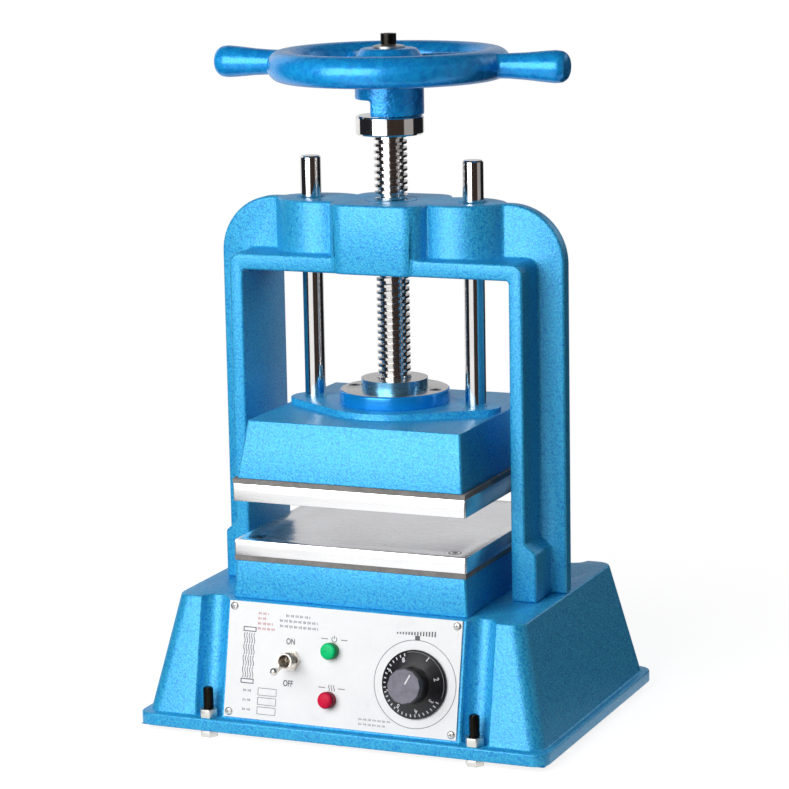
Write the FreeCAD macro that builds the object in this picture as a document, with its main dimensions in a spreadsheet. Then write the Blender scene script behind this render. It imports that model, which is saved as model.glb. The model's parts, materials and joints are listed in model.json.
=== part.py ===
import FreeCAD, Part
import Sketcher
import math
import os

# Rubber mold vulcanizer: a bench screw press with two heated platens.
# X is to the right, -Y to the front with the control panel, +Z up. The origin is on the bench surface,
# under the lead screw. All sizes are millimetres and all angles are degrees.

document = FreeCAD.newDocument("vulcanizer")
sheet = document.addObject("Spreadsheet::Sheet", "Sizes")

# A Size carries a number together with the sheet expression that gives it, so that sums and products
# of driving sizes can be bound to the objects.


class Size:
    def __init__(self, number, text):
        self.number = number
        self.text = text

    def __add__(self, other):
        return joined(self, "+", other, lambda a, b: a + b)

    def __radd__(self, other):
        return joined(other, "+", self, lambda a, b: a + b)

    def __sub__(self, other):
        return joined(self, "-", other, lambda a, b: a - b)

    def __rsub__(self, other):
        return joined(other, "-", self, lambda a, b: a - b)

    def __mul__(self, other):
        return joined(self, "*", other, lambda a, b: a * b)

    def __rmul__(self, other):
        return joined(other, "*", self, lambda a, b: a * b)

    def __truediv__(self, other):
        return joined(self, "/", other, lambda a, b: a / b)

    def __neg__(self):
        return Size(-self.number, f"(0 - {self.text})")


def sized(value):
    return value if isinstance(value, Size) else Size(float(value), f"({float(value)})")


def joined(first, sign, second, rule):
    first = sized(first)
    second = sized(second)
    return Size(rule(first.number, second.number), f"({first.text} {sign} {second.text})")


def root(value):
    return Size(math.sqrt(value.number), f"sqrt({value.text})")


# Driving sizes

# Clearances
running_clearance = 0.05
seat_clearance = 0.3
# How far each cutting solid runs past the face that it cuts
overrun = 1.0

# Mounting bolts, on whose heads the machine stands
bolt_diameter = 7.94
bolt_head_height = 5.3
bolt_head_flats = 12.7
bolt_nut_height = 6.8
bolt_length = 33.0
bolt_spacing_x = 216.0
bolt_spacing_y = 233.0
bolt_hole_clearance = 0.4

# Base housing casting
flange_width = 331.0
flange_bolt_edge = 7.5
flange_ledge = 6.0
flange_thickness = 9.7
flange_corner = 12.0
flange_edge = 1.5
housing_height = 98.5
housing_foot_width = 320.5
housing_top_width = 281.0
housing_top_depth = 200.5
housing_corner = 12.0
housing_wall = 6.0
housing_roof = 10.0
wall_cut_length = 24.0
wall_cut_depth = 18.0
flute_radius = 11.0
flute_outset = 1.0
flute_overrun = 10.0
cable_hole_diameter = 20.0
cover_thickness = 1.5
cover_lap = 8.0
cover_notch = 26.0
cover_screw_diameter = 3.0
cover_screw_head = 6.0
cover_screw_head_height = 2.0
cover_screw_length = 6.0
cover_screw_spacing = 120.0

# Press frame casting
frame_reveal = 0.5
frame_corner = 44.0
web_thickness = 11.8
foot_inset = 12.5
opening_height = 241.5
opening_corner = 2.5
rib_depth = 77.0
rib_thickness = 11.0
top_rib_thickness = 12.4
rib_corner = 8.0
foot_widening = 9.0
foot_height = 37.0
foot_slant = 7.2
crosshead_height = 52.5
screw_boss_width = 77.0
screw_boss_depth = 83.0
screw_boss_corner = 16.0
rod_boss_radius = 39.0
rod_boss_depth = 57.0
rod_boss_centre = 56.5
frame_bolt_diameter = 9.5
frame_bolt_length = 30.0
frame_bolt_spacing_y = 54.0
frame_bolt_flats = 14.3
frame_bolt_head_height = 6.0
bush_wall = 2.5
bush_recess = 1.2
nut_diameter = 38.0

# Lower platen stack
platen_width = 187.5
platen_depth = 186.5
platen_corner = 1.0
lower_bolster_foot_width = 190.5
lower_bolster_foot_depth = 189.0
lower_bolster_top_width = 186.0
lower_bolster_top_depth = 185.0
lower_bolster_height = 29.0
bolster_edge = 2.0
pocket_width = 148.0
pocket_depth = 17.0
board_thickness = 3.8
heater_width = 146.0
heater_thickness = 3.5
lower_platen_thickness = 11.9
platen_screw_inset = 14.0
platen_screw_diameter = 5.0
platen_screw_head = 9.4
platen_screw_socket = 3.0
platen_screw_length = 22.0
sensor_diameter = 6.4
sensor_length = 80.0
sensor_across = 40.0
sensor_tail = 3.0
bolster_bolt_diameter = 7.9
bolster_bolt_spacing = 150.0
bolster_bolt_flats = 12.7
bolster_bolt_head_height = 5.3
bolster_bolt_length = 20.0

# Moving head
daylight = 29.8
upper_platen_thickness = 13.6
upper_bolster_foot_width = 182.0
upper_bolster_foot_depth = 184.0
upper_bolster_top_width = 172.0
upper_bolster_top_depth = 163.0
upper_bolster_height = 42.4
pad_height = 5.0
pad_centre_radius = 55.0
pad_end_radius = 19.0
rod_spacing = 132.8
rod_diameter = 15.9
rod_chamfer = 1.2
rod_seat_depth = 18.0
rod_length = 204.2
thrust_flange_diameter = 84.0
thrust_flange_height = 10.5
thrust_flange_edge = 1.0
thrust_screw_circle = 67.0
thrust_screw_diameter = 5.0
thrust_screw_head = 8.0
thrust_screw_head_height = 5.0
thrust_screw_socket = 4.0
thrust_screw_length = 18.0
retainer_diameter = 51.0
retainer_height = 8.0
thrust_pocket_diameter = 40.0
thrust_play = 0.1
bearing_thickness = 4.0

# Lead screw and its collar
screw_diameter = 25.4
screw_foot_diameter = 36.0
screw_foot_thickness = 7.0
thread_length = 185.6
journal_diameter = 19.0
collar_diameter = 51.2
collar_height = 14.2
collar_chamfer = 1.2
dog_height = 12.5
dog_gap = 0.4
collar_dog_start = 61.0
collar_dog_angle = 50.0
grub_diameter = 6.0
grub_bite = 1.0

# Handwheel
wheel_dog_start = -102.0
wheel_dog_angle = 162.0
hub_diameter = 52.0
hub_height = 37.9
hub_waist = 16.0
hub_crown_height = 10.8
hub_crown_diameter = 56.5
hub_top_diameter = 41.0
rim_radius = 80.0
rim_tube = 23.4
rim_rise = 25.7
spoke_count = 4
spoke_turn = 45.0
spoke_thickness = 12.0
handle_reach = 142.4
handle_neck = 18.8
handle_end = 24.4
washer_diameter = 24.0
washer_thickness = 2.6
cap_screw_diameter = 7.9
cap_screw_head = 11.9
cap_screw_head_height = 7.9
cap_screw_length = 25.0
cap_screw_socket = 6.3

# Control panel and what it carries
panel_width = 188.5
panel_height = 87.5
panel_thickness = 1.6
panel_low = 2.4
panel_window_width = 164.0
panel_window_height = 66.0
panel_screw_inset = 4.0
panel_screw_diameter = 3.0
panel_screw_head = 5.8
panel_screw_top = 4.1
panel_screw_length = 7.0
switch_across = -41.5
switch_up = 49.0
switch_bush_diameter = 11.8
switch_bush_length = 12.0
switch_bush_bore = 9.6
switch_body_width = 13.0
switch_body_height = 28.0
switch_body_depth = 22.0
switch_nut_flats = 14.0
switch_nut_height = 2.2
lever_length = 31.0
lever_diameter = 2.8
lever_neck_diameter = 3.8
lever_tip_diameter = 6.0
lever_tilt = 12.0
lever_ball_diameter = 6.0
lever_pin_diameter = 2.0
lever_pin_length = 8.0
lamp_across = -9.0
green_lamp_up = 59.0
red_lamp_up = 22.5
lamp_diameter = 12.6
lamp_height = 8.0
lamp_dome = 2.0
lamp_barrel_diameter = 10.0
lamp_barrel_length = 26.0
dial_across = 59.5
dial_up = 40.5
dial_diameter = 51.0
dial_face_diameter = 44.5
dial_height = 6.5
knob_diameter = 27.0
knob_face_diameter = 26.2
knob_height = 15.5
knob_foot_diameter = 29.7
shaft_diameter = 6.3
shaft_length = 34.0
thermostat_width = 42.0
thermostat_depth = 24.0
thermostat_bush = 9.5
shaft_sunk = 12.0
knob_sides = 12

# Inside the base and at the rear
terminal_width = 70.0
terminal_depth = 22.0
terminal_height = 18.0
terminal_way_level = 12.6
gland_thread = 12.5
gland_nut_flats = 22.0
gland_length = 18.0
gland_spacing = 80.0
gland_up = 45.0
gland_bore = 8.0
gland_nut_height = 5.0
gland_cap_diameter = 20.0
head_gland_up = 28.0
head_lead_length = 40.0
terminal_ways = 5

# Every size above goes into the sheet under its own name, and stays bound to its cell


def driving(name, number):
    row = driving.rows + 1
    driving.rows = row
    sheet.set(f"A{row}", name)
    sheet.set(f"B{row}", str(number))
    sheet.setAlias(f"B{row}", name)
    return Size(number, f"Sizes.{name}")


driving.rows = 0
for name, number in list(globals().items()):
    if isinstance(number, float):
        globals()[name] = driving(name, number)

# The flange holds its bolts all round, and the walls rise from its ledge
flange_depth = bolt_spacing_y + 2 * flange_bolt_edge
housing_foot_depth = flange_depth - 2 * flange_ledge

# The frame's feet and web keep their distance from the edge of the housing that carries them
frame_width = housing_top_width - 2 * frame_reveal
opening_width = housing_top_width - 2 * (foot_inset + foot_widening + rib_thickness)

# Levels, from the bench up
flange_bottom = bolt_head_height
flange_top = flange_bottom + flange_thickness
base_top = flange_bottom + housing_height
board_bottom = base_top + lower_bolster_height
lower_platen_bottom = board_bottom + board_thickness
lower_platen_top = lower_platen_bottom + lower_platen_thickness
upper_platen_bottom = lower_platen_top + daylight
upper_platen_top = upper_platen_bottom + upper_platen_thickness
upper_bolster_bottom = upper_platen_top + board_thickness
upper_bolster_top = upper_bolster_bottom + upper_bolster_height
pad_top = upper_bolster_top + pad_height
thrust_flange_top = pad_top + thrust_flange_height
retainer_top = thrust_flange_top + retainer_height
collar_bottom = retainer_top + thread_length
collar_top = collar_bottom + collar_height
hub_bottom = collar_top + dog_height
hub_top = hub_bottom + hub_height
opening_top = base_top + opening_height
crosshead_top = opening_top + crosshead_height
rim_level = hub_bottom + rim_rise
journal_top = hub_top + thrust_play
bush_diameter = rod_diameter + 2 * bush_wall
dial_out = panel_thickness + seat_clearance

# Slope of the housing's front and rear faces
face_rise = housing_height - flange_thickness
face_inset = (housing_foot_depth - housing_top_depth) / 2

X_AXIS = FreeCAD.Vector(1, 0, 0)
Y_AXIS = FreeCAD.Vector(0, 1, 0)
Z_AXIS = FreeCAD.Vector(0, 0, 1)
SIDES = (-1, 1)


# Binding and placing


def bind(item, **sizes):
    for name, value in sizes.items():
        value = sized(value)
        setattr(item, name, value.number)
        item.setExpression(name, value.text)


def place(item, x=0, y=0, z=0, axis=Z_AXIS, turn=0):
    turn = sized(turn)
    item.Placement = FreeCAD.Placement(FreeCAD.Vector(sized(x).number, sized(y).number,
                                                      sized(z).number),
                                       FreeCAD.Rotation(axis, turn.number))
    for name, value in (("x", x), ("y", y), ("z", z)):
        item.setExpression(f"Placement.Base.{name}", sized(value).text)
    if turn.number:
        item.setExpression("Placement.Rotation.Angle", turn.text)
    return item


class Face:
    # A sloping wall face, seen from outside: across is along X, up is along the slope, out is square to it.
    def __init__(self, side, half_depth, level, inset, rise):
        self.side = side
        self.half_depth = half_depth
        self.level = level
        self.length = root(rise * rise + inset * inset)
        self.sine = inset / self.length
        self.cosine = rise / self.length
        steepness = rise / inset
        self.lean = Size(math.degrees(math.atan(steepness.number)), f"(atan({steepness.text}) / 1 deg)")

    def put(self, item, across, up, out):
        y = (self.half_depth - up * self.sine + out * self.cosine) * self.side
        z = self.level + up * self.cosine + out * self.sine
        return place(item, across, y, z, X_AXIS, self.lean * -self.side)

    # Along the slope, with the axis of the item pointing up it
    def put_upright(self, item, across, up, out):
        self.put(item, across, up, out)
        turn = (90 - self.lean) * self.side
        item.Placement.Rotation = FreeCAD.Rotation(X_AXIS, turn.number)
        item.setExpression("Placement.Rotation.Angle", turn.text)
        return item


front_face = Face(-1, housing_foot_depth / 2, flange_top, face_inset, face_rise)
rear_face = Face(1, housing_foot_depth / 2, flange_top, face_inset, face_rise)
switch_pivot_depth = front_face.half_depth - switch_up * front_face.sine
switch_pivot_level = flange_top + switch_up * front_face.cosine
head_inset = (upper_bolster_foot_depth - upper_bolster_top_depth) / 2
head_rear_face = Face(1, upper_bolster_foot_depth / 2, upper_bolster_bottom, head_inset,
                      upper_bolster_height)

# Solids


def box(name, length, width, height, x=None, y=None, z=0):
    item = document.addObject("Part::Box", name)
    bind(item, Length=length, Width=width, Height=height)
    x = -(length / 2) if x is None else x
    y = -(width / 2) if y is None else y
    return place(item, x, y, z)


def cylinder(name, diameter, height, x=0, y=0, z=0, axis=Z_AXIS, turn=0):
    item = document.addObject("Part::Cylinder", name)
    bind(item, Radius=diameter / 2, Height=height)
    return place(item, x, y, z, axis, turn)


def cone(name, foot_diameter, top_diameter, height, x=0, y=0, z=0, axis=Z_AXIS, turn=0):
    item = document.addObject("Part::Cone", name)
    bind(item, Radius1=foot_diameter / 2, Radius2=top_diameter / 2, Height=height)
    return place(item, x, y, z, axis, turn)


def prism(name, flats, sides, height, x=0, y=0, z=0):
    item = document.addObject("Part::Prism", name)
    item.Polygon = sides
    bind(item, Circumradius=flats / 2 / math.cos(math.pi / sides), Height=height)
    return place(item, x, y, z)


def sector(name, diameter, bore, height, start, angle, z):
    outside = cylinder(f"{name}_outside", diameter, height, z=z, turn=start)
    bind(outside, Angle=angle)
    inside = cylinder(f"{name}_inside", bore, height + 2 * overrun, z=z - overrun)
    return cut(name, outside, inside)


def fuse(name, items):
    item = document.addObject("Part::MultiFuse", name)
    item.Shapes = items
    item.Refine = True
    return item


def common(name, items):
    item = document.addObject("Part::MultiCommon", name)
    item.Shapes = items
    return item


def cut(name, base, *tools):
    item = document.addObject("Part::Cut", name)
    item.Base = base
    item.Tool = tools[0] if len(tools) == 1 else fuse(f"{name}_tools", list(tools))
    item.Refine = True
    return item


def group(name, items):
    item = document.addObject("Part::Compound", name)
    item.Links = items
    return item


# Bodies with sketches


def origin_plane(body, role):
    return next(plane for plane in body.Origin.OriginFeatures if plane.Role == role)


def sketch(body, name, role, points, level=0):
    item = body.newObject("Sketcher::SketchObject", name)
    item.AttachmentSupport = (origin_plane(body, role), [""])
    item.MapMode = "FlatFace"
    level = sized(level)
    item.AttachmentOffset = FreeCAD.Placement(FreeCAD.Vector(0, 0, level.number), FreeCAD.Rotation())
    item.setExpression("AttachmentOffset.Base.z", level.text)
    corners = [(sized(across), sized(up)) for across, up in points]
    ends = corners[1:] + corners[:1]
    for (x1, y1), (x2, y2) in zip(corners, ends):
        start = FreeCAD.Vector(x1.number, y1.number, 0)
        item.addGeometry(Part.LineSegment(start, FreeCAD.Vector(x2.number, y2.number, 0)), False)
    count = len(corners)
    for index in range(count):
        item.addConstraint(Sketcher.Constraint("Coincident", index, 2, (index + 1) % count, 1))
    for index, (x, y) in enumerate(corners):
        for kind, value in (("DistanceX", x), ("DistanceY", y)):
            number = item.addConstraint(Sketcher.Constraint(kind, -1, 1, index, 1, value.number))
            item.setExpression(f"Constraints[{number}]", value.text)
    return item


def rectangle(width, depth):
    across, up = width / 2, depth / 2
    return [(-across, -up), (across, -up), (across, up), (-across, up)]


def frustum(body, name, foot_width, foot_depth, foot_level, top_width, top_depth, top_level):
    item = body.newObject("PartDesign::AdditiveWedge", name)
    bind(item, Xmin=-(foot_width / 2), Xmax=foot_width / 2, Zmin=-(foot_depth / 2), Zmax=foot_depth / 2,
         Ymin=0, Ymax=top_level - foot_level,
         X2min=-(top_width / 2), X2max=top_width / 2, Z2min=-(top_depth / 2), Z2max=top_depth / 2)
    place(item, z=foot_level, axis=X_AXIS, turn=90)
    document.recompute()
    return item


def pad(body, name, profile, length, symmetric=False):
    item = body.newObject("PartDesign::Pad", name)
    item.Profile = profile
    item.Midplane = symmetric
    bind(item, Length=length)
    document.recompute()
    return item


def picked_edges(shape, test):
    return [f"Edge{number}" for number, edge in enumerate(shape.Edges, 1) if test(edge)]


def rounded(body, name, base, radius, test, chamfer=False):
    item = body.newObject("PartDesign::Chamfer" if chamfer else "PartDesign::Fillet", name)
    item.Base = (base, picked_edges(base.Shape, test))
    if chamfer:
        bind(item, Size=radius)
    else:
        bind(item, Radius=radius)
    document.recompute()
    return item


def rises(height):
    return lambda edge: edge.BoundBox.ZLength > 0.9 * height.number


def at_level(level):
    return lambda edge: (edge.BoundBox.ZLength < 0.001 and abs(edge.BoundBox.ZMin - level.number) < 0.001)


def rounded_block(name, width, depth, height, corner, level, edge=None):
    body = document.addObject("PartDesign::Body", name)
    outline = sketch(body, f"{name}_outline", "XY_Plane", rectangle(width, depth), level)
    block = pad(body, f"{name}_block", outline, height)
    block = rounded(body, f"{name}_corners", block, corner, rises(height))
    if edge is not None:
        rounded(body, f"{name}_edge", block, edge, at_level(level + height))
    return body


# Repeated places


def quarters(spacing_x, spacing_y):
    return [(spacing_x * (side / 2), spacing_y * (end / 2)) for side in SIDES for end in SIDES]


def hex_bolts(name, places, diameter, flats, head_height, length, head_level, above=True):
    bolts = []
    for number, (x, y) in enumerate(places, 1):
        head = prism(f"{name}_head_{number}", flats, 6, head_height, x, y, head_level)
        shank = cylinder(f"{name}_shank_{number}", diameter, length, x, y, head_level + head_height)
        bolts.append(fuse(f"{name}_{number}", [head, shank]))
    return group(name, bolts)


def holes(name, places, diameter, height, level):
    return [cylinder(f"{name}_{number}", diameter, height, x, y, level)
            for number, (x, y) in enumerate(places, 1)]


mounting_places = quarters(bolt_spacing_x, bolt_spacing_y)
leg_middle = (opening_width + rib_thickness + foot_widening) / 2
frame_bolt_places = quarters(leg_middle * 2, frame_bolt_spacing_y)
bolster_bolt_places = quarters(bolster_bolt_spacing, bolster_bolt_spacing)
platen_screw_places = quarters(platen_width - 2 * platen_screw_inset,
                               platen_depth - 2 * platen_screw_inset)
rod_places = [(rod_spacing * (side / 2), sized(0)) for side in SIDES]
clear_bolt_hole = bolt_diameter + 2 * bolt_hole_clearance
cover_width = housing_foot_width - 2 * housing_wall + 2 * cover_lap
cover_depth = housing_foot_depth - 2 * housing_wall + 2 * cover_lap
cover_side_screws = quarters(cover_width - cover_lap, cover_screw_spacing)
cover_end_screws = [(sized(0), (cover_depth - cover_lap) * (end / 2)) for end in SIDES]
cover_screw_places = cover_side_screws + cover_end_screws
thrust_pocket_depth = bearing_thickness + screw_foot_thickness + 2 * thrust_play
thrust_screw_places = [(thrust_screw_circle * (side / 2), sized(0)) for side in SIDES]
flute_places = [(bolt_spacing_x * (side / 2), face) for side in SIDES for face in (front_face,
                                                                                   rear_face)]


# Places on the control panel, and round pieces that stand square to it


panel_top_screws = panel_low + panel_height - panel_screw_inset
panel_low_screws = panel_low + panel_screw_inset
panel_screw_places = [((panel_width / 2 - panel_screw_inset) * side, up)
                      for side in SIDES for up in (panel_low_screws, panel_top_screws)]
lamp_places = {"green": green_lamp_up, "red": red_lamp_up}


def panel_rod(name, diameter, length, across, up, out):
    return front_face.put(cylinder(name, diameter, length), across, up, out)


# Base housing, its cover and mounting bolts


def flute_rods(name, radius):
    rods = []
    for number, (x, face) in enumerate(flute_places, 1):
        rod = cylinder(f"{name}_{number}", radius * 2, face.length + 2 * flute_overrun)
        rods.append(face.put_upright(rod, x, -flute_overrun, flute_outset))
    return rods


def cover_blank(name, clearance):
    blank = box(f"{name}_sheet", cover_width - 2 * clearance, cover_depth - 2 * clearance,
                cover_thickness,
                z=flange_bottom)
    notches = holes(f"{name}_notch", mounting_places, cover_notch + 2 * clearance,
                    cover_thickness + 2 * overrun,
                    flange_bottom - overrun)
    return cut(name, blank, *notches)


def base_housing():
    outside = document.addObject("PartDesign::Body", "housing_outside")
    walls = frustum(outside, "housing_walls", housing_foot_width, housing_foot_depth, flange_top,
                    housing_top_width, housing_top_depth, base_top)
    rounded(outside, "housing_corners", walls, housing_corner, rises(face_rise))
    fluted = cut("fluted_housing", outside, *flute_rods("flute", flute_radius))
    flange = rounded_block("housing_flange", flange_width, flange_depth, flange_thickness,
                           flange_corner,
                           flange_bottom, flange_edge)
    core_body = document.addObject("PartDesign::Body", "housing_core_blank")
    frustum(core_body, "housing_core_walls",
            housing_foot_width - 2 * housing_wall, housing_foot_depth - 2 * housing_wall,
            flange_bottom - overrun,
            housing_top_width - 2 * housing_wall, housing_top_depth - 2 * housing_wall,
            base_top - housing_roof)
    core = cut("housing_core", core_body, *flute_rods("flute_wall", flute_radius + housing_wall))
    window = box("panel_window", panel_window_width, panel_window_height, wall_cut_length)
    front_face.put(window, -(panel_window_width / 2),
                   panel_low + (panel_height - panel_window_height) / 2,
                   -wall_cut_depth)
    roof_level = base_top - housing_roof - overrun
    cable_hole = cylinder("cable_hole", cable_hole_diameter, housing_roof + 2 * overrun, z=roof_level)
    bolt_holes = holes("mounting_hole", mounting_places, clear_bolt_hole,
                       flange_thickness + 2 * overrun, flange_bottom - overrun)
    frame_holes = holes("frame_bolt_hole", frame_bolt_places,
                        frame_bolt_diameter + 2 * bolt_hole_clearance,
                        housing_roof + 2 * overrun, roof_level)
    bolster_holes = holes("bolster_bolt_hole", bolster_bolt_places,
                          bolster_bolt_diameter + 2 * bolt_hole_clearance, housing_roof + 2 * overrun,
                          roof_level)
    cover_holes = holes("cover_screw_tapping", cover_screw_places,
                        cover_screw_diameter + 2 * running_clearance,
                        cover_screw_length, flange_bottom)
    gland_holes = []
    for side in SIDES:
        hole = cylinder(f"gland_hole_{side}", gland_thread + 2 * seat_clearance, wall_cut_length)
        gland_holes.append(rear_face.put(hole, gland_spacing * (side / 2), gland_up, -wall_cut_depth))
    panel_holes = [panel_rod(f"panel_tapping_{number}", panel_screw_diameter + 2 * running_clearance,
                             panel_screw_length + 2 * overrun, across, up,
                             -panel_screw_length - overrun)
                   for number, (across, up) in enumerate(panel_screw_places, 1)]
    solid = fuse("housing_solid", [fluted, flange])
    return cut("base_housing", solid, core, window, cable_hole, cover_blank("cover_rebate", 0),
               *bolt_holes, *frame_holes, *bolster_holes, *cover_holes, *gland_holes, *panel_holes)


def base_cover():
    screw_holes = holes("cover_clearance_hole", cover_screw_places,
                        cover_screw_diameter + 2 * seat_clearance,
                        cover_thickness + 2 * overrun, flange_bottom - overrun)
    return cut("base_cover", cover_blank("cover_plate", seat_clearance), *screw_holes)


def cover_screws():
    screws = []
    for number, (x, y) in enumerate(cover_screw_places, 1):
        head = cylinder(f"cover_screw_head_{number}", cover_screw_head, cover_screw_head_height, x, y,
                        flange_bottom - cover_screw_head_height)
        shank = cylinder(f"cover_screw_shank_{number}", cover_screw_diameter, cover_screw_length, x, y,
                         flange_bottom)
        screws.append(fuse(f"cover_screw_{number}", [head, shank]))
    return group("cover_screws", screws)


def mounting_bolts():
    return hex_bolts("mounting_bolts", mounting_places, bolt_diameter, bolt_head_flats,
                     bolt_head_height,
                     bolt_length, sized(0))


def mounting_nuts():
    nuts = []
    for number, (x, y) in enumerate(mounting_places, 1):
        blank = prism(f"nut_blank_{number}", bolt_head_flats, 6, bolt_nut_height, x, y, flange_top)
        bore = cylinder(f"nut_bore_{number}", bolt_diameter + 2 * running_clearance,
                        bolt_nut_height + 2 * overrun, x, y,
                        flange_top - overrun)
        nuts.append(cut(f"mounting_nut_{number}", blank, bore))
    return group("mounting_nuts", nuts)


# Press frame with its nut, bushes and bolts


def press_frame():
    web_body = document.addObject("PartDesign::Body", "frame_web")
    web_sketch = sketch(web_body, "web_outline", "XZ_Plane", [
        (-(frame_width / 2), base_top), (-(opening_width / 2), base_top), (-(opening_width / 2),
                                                                           opening_top),
        (opening_width / 2, opening_top), (opening_width / 2, base_top), (frame_width / 2, base_top),
        (frame_width / 2, crosshead_top), (-(frame_width / 2), crosshead_top)])
    web = pad(web_body, "web_plate", web_sketch, web_thickness, symmetric=True)
    rounded(web_body, "web_corners", web, frame_corner,
            lambda edge: edge.BoundBox.YLength > 1 and edge.BoundBox.ZMin > crosshead_top.number - 1)
    rib_body = document.addObject("PartDesign::Body", "frame_rib")
    inner = opening_width / 2
    outer = inner + rib_thickness
    foot = outer + foot_widening
    foot_top = base_top + foot_height
    rib_top = opening_top + top_rib_thickness
    right = [(inner, opening_top), (inner, base_top), (foot, base_top), (foot, foot_top),
             (outer, foot_top + foot_slant), (outer, rib_top)]
    left = [(-across, up) for across, up in reversed(right)]
    rib_sketch = sketch(rib_body, "rib_outline", "XZ_Plane", left + right)
    rib = pad(rib_body, "rib_band", rib_sketch, rib_depth, symmetric=True)
    rib = rounded(rib_body, "rib_outer_corners", rib, rib_corner,
                  lambda edge: edge.BoundBox.XLength < 0.1 and edge.BoundBox.ZMin > rib_top.number - 0.1)
    rounded(rib_body, "rib_inner_corners", rib, opening_corner,
            lambda edge: edge.BoundBox.XLength < 0.1 and edge.BoundBox.YLength > 1
            and abs(edge.BoundBox.ZMin - opening_top.number) < 0.1)
    boss = rounded_block("screw_boss", screw_boss_width, screw_boss_depth, crosshead_height,
                         screw_boss_corner,
                         opening_top)
    solids = [web_body, rib_body, boss]
    offset = rod_boss_radius - rod_boss_depth / 2
    for side in SIDES:
        halves = [cylinder(f"rod_boss_half_{side}_{end}", rod_boss_radius * 2, crosshead_height,
                           rod_boss_centre * side, offset * end, opening_top) for end in SIDES]
        solids.append(common(f"rod_boss_{side}", halves))
    bores = [cylinder("nut_seat", nut_diameter + 2 * running_clearance, crosshead_height + 2 * overrun,
                      z=opening_top - overrun)]
    bores += holes("bush_seat", rod_places, bush_diameter + 2 * running_clearance,
                   crosshead_height + 2 * overrun,
                   opening_top - overrun)
    bores += holes("frame_bolt_tapping", frame_bolt_places, frame_bolt_diameter + 2 * running_clearance,
                   frame_bolt_length - housing_roof + 2 * overrun, base_top - overrun)
    return cut("press_frame", fuse("frame_solid", solids), *bores)


def screw_nut():
    blank = cylinder("screw_nut_blank", nut_diameter, crosshead_height, z=opening_top)
    bore = cylinder("screw_nut_bore", screw_diameter + 2 * running_clearance,
                    crosshead_height + 2 * overrun, z=opening_top - overrun)
    return cut("screw_nut", blank, bore)


def guide_bushes():
    bushes = []
    length = crosshead_height - 2 * bush_recess
    for number, (x, y) in enumerate(rod_places, 1):
        blank = cylinder(f"bush_blank_{number}", bush_diameter, length, x, y, opening_top + bush_recess)
        bore = cylinder(f"bush_bore_{number}", rod_diameter + 2 * running_clearance,
                        length + 2 * overrun, x, y,
                        opening_top + bush_recess - overrun)
        bushes.append(cut(f"guide_bush_{number}", blank, bore))
    return group("guide_bushes", bushes)


def frame_bolts():
    return hex_bolts("frame_bolts", frame_bolt_places, frame_bolt_diameter, frame_bolt_flats,
                     frame_bolt_head_height,
                     frame_bolt_length, base_top - housing_roof - frame_bolt_head_height)


# Lower platen stack


def platen(name, level, thickness, screw_places, heads_up):
    body = rounded_block(f"{name}_block", platen_width, platen_depth, thickness, platen_corner, level)
    clearance = 2 * running_clearance
    shank_holes = holes(f"{name}_screw_hole", screw_places, platen_screw_diameter + clearance,
                        thickness + 2 * overrun,
                        level - overrun)
    head_depth = (platen_screw_head - platen_screw_diameter) / 2
    cones = []
    for number, (x, y) in enumerate(screw_places, 1):
        low = platen_screw_diameter if heads_up else platen_screw_head
        high = platen_screw_head if heads_up else platen_screw_diameter
        cone_level = level + thickness - head_depth if heads_up else level
        cones.append(cone(f"{name}_countersink_{number}", low + clearance, high + clearance, head_depth,
                          x, y,
                          cone_level))
    return cut(name, body, *shank_holes, *cones)


def platen_screws(name, level, heads_up):
    head_depth = (platen_screw_head - platen_screw_diameter) / 2
    screws = []
    for number, (x, y) in enumerate(platen_screw_places, 1):
        if heads_up:
            head = cone(f"{name}_head_{number}", platen_screw_diameter, platen_screw_head, head_depth,
                        x, y,
                        level - head_depth)
            shank = cylinder(f"{name}_shank_{number}", platen_screw_diameter,
                             platen_screw_length - head_depth, x, y,
                             level - platen_screw_length)
            socket_level = level - head_depth
        else:
            head = cone(f"{name}_head_{number}", platen_screw_head, platen_screw_diameter, head_depth,
                        x, y, level)
            shank = cylinder(f"{name}_shank_{number}", platen_screw_diameter,
                             platen_screw_length - head_depth, x, y,
                             level + head_depth)
            socket_level = level
        blank = fuse(f"{name}_blank_{number}", [head, shank])
        socket = prism(f"{name}_socket_{number}", platen_screw_socket, 6, head_depth, x, y,
                       socket_level)
        screws.append(cut(f"{name}_{number}", blank, socket))
    return group(name, screws)


def insulation_board(name, level, screw_places):
    board = box(f"{name}_sheet", platen_width, platen_depth, board_thickness, z=level)
    window = box(f"{name}_window", pocket_width, pocket_width, board_thickness + 2 * overrun,
                 z=level - overrun)
    screw_holes = holes(f"{name}_hole", screw_places, platen_screw_diameter + 2 * seat_clearance,
                        board_thickness + 2 * overrun, level - overrun)
    return cut(name, board, window, *screw_holes)


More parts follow.
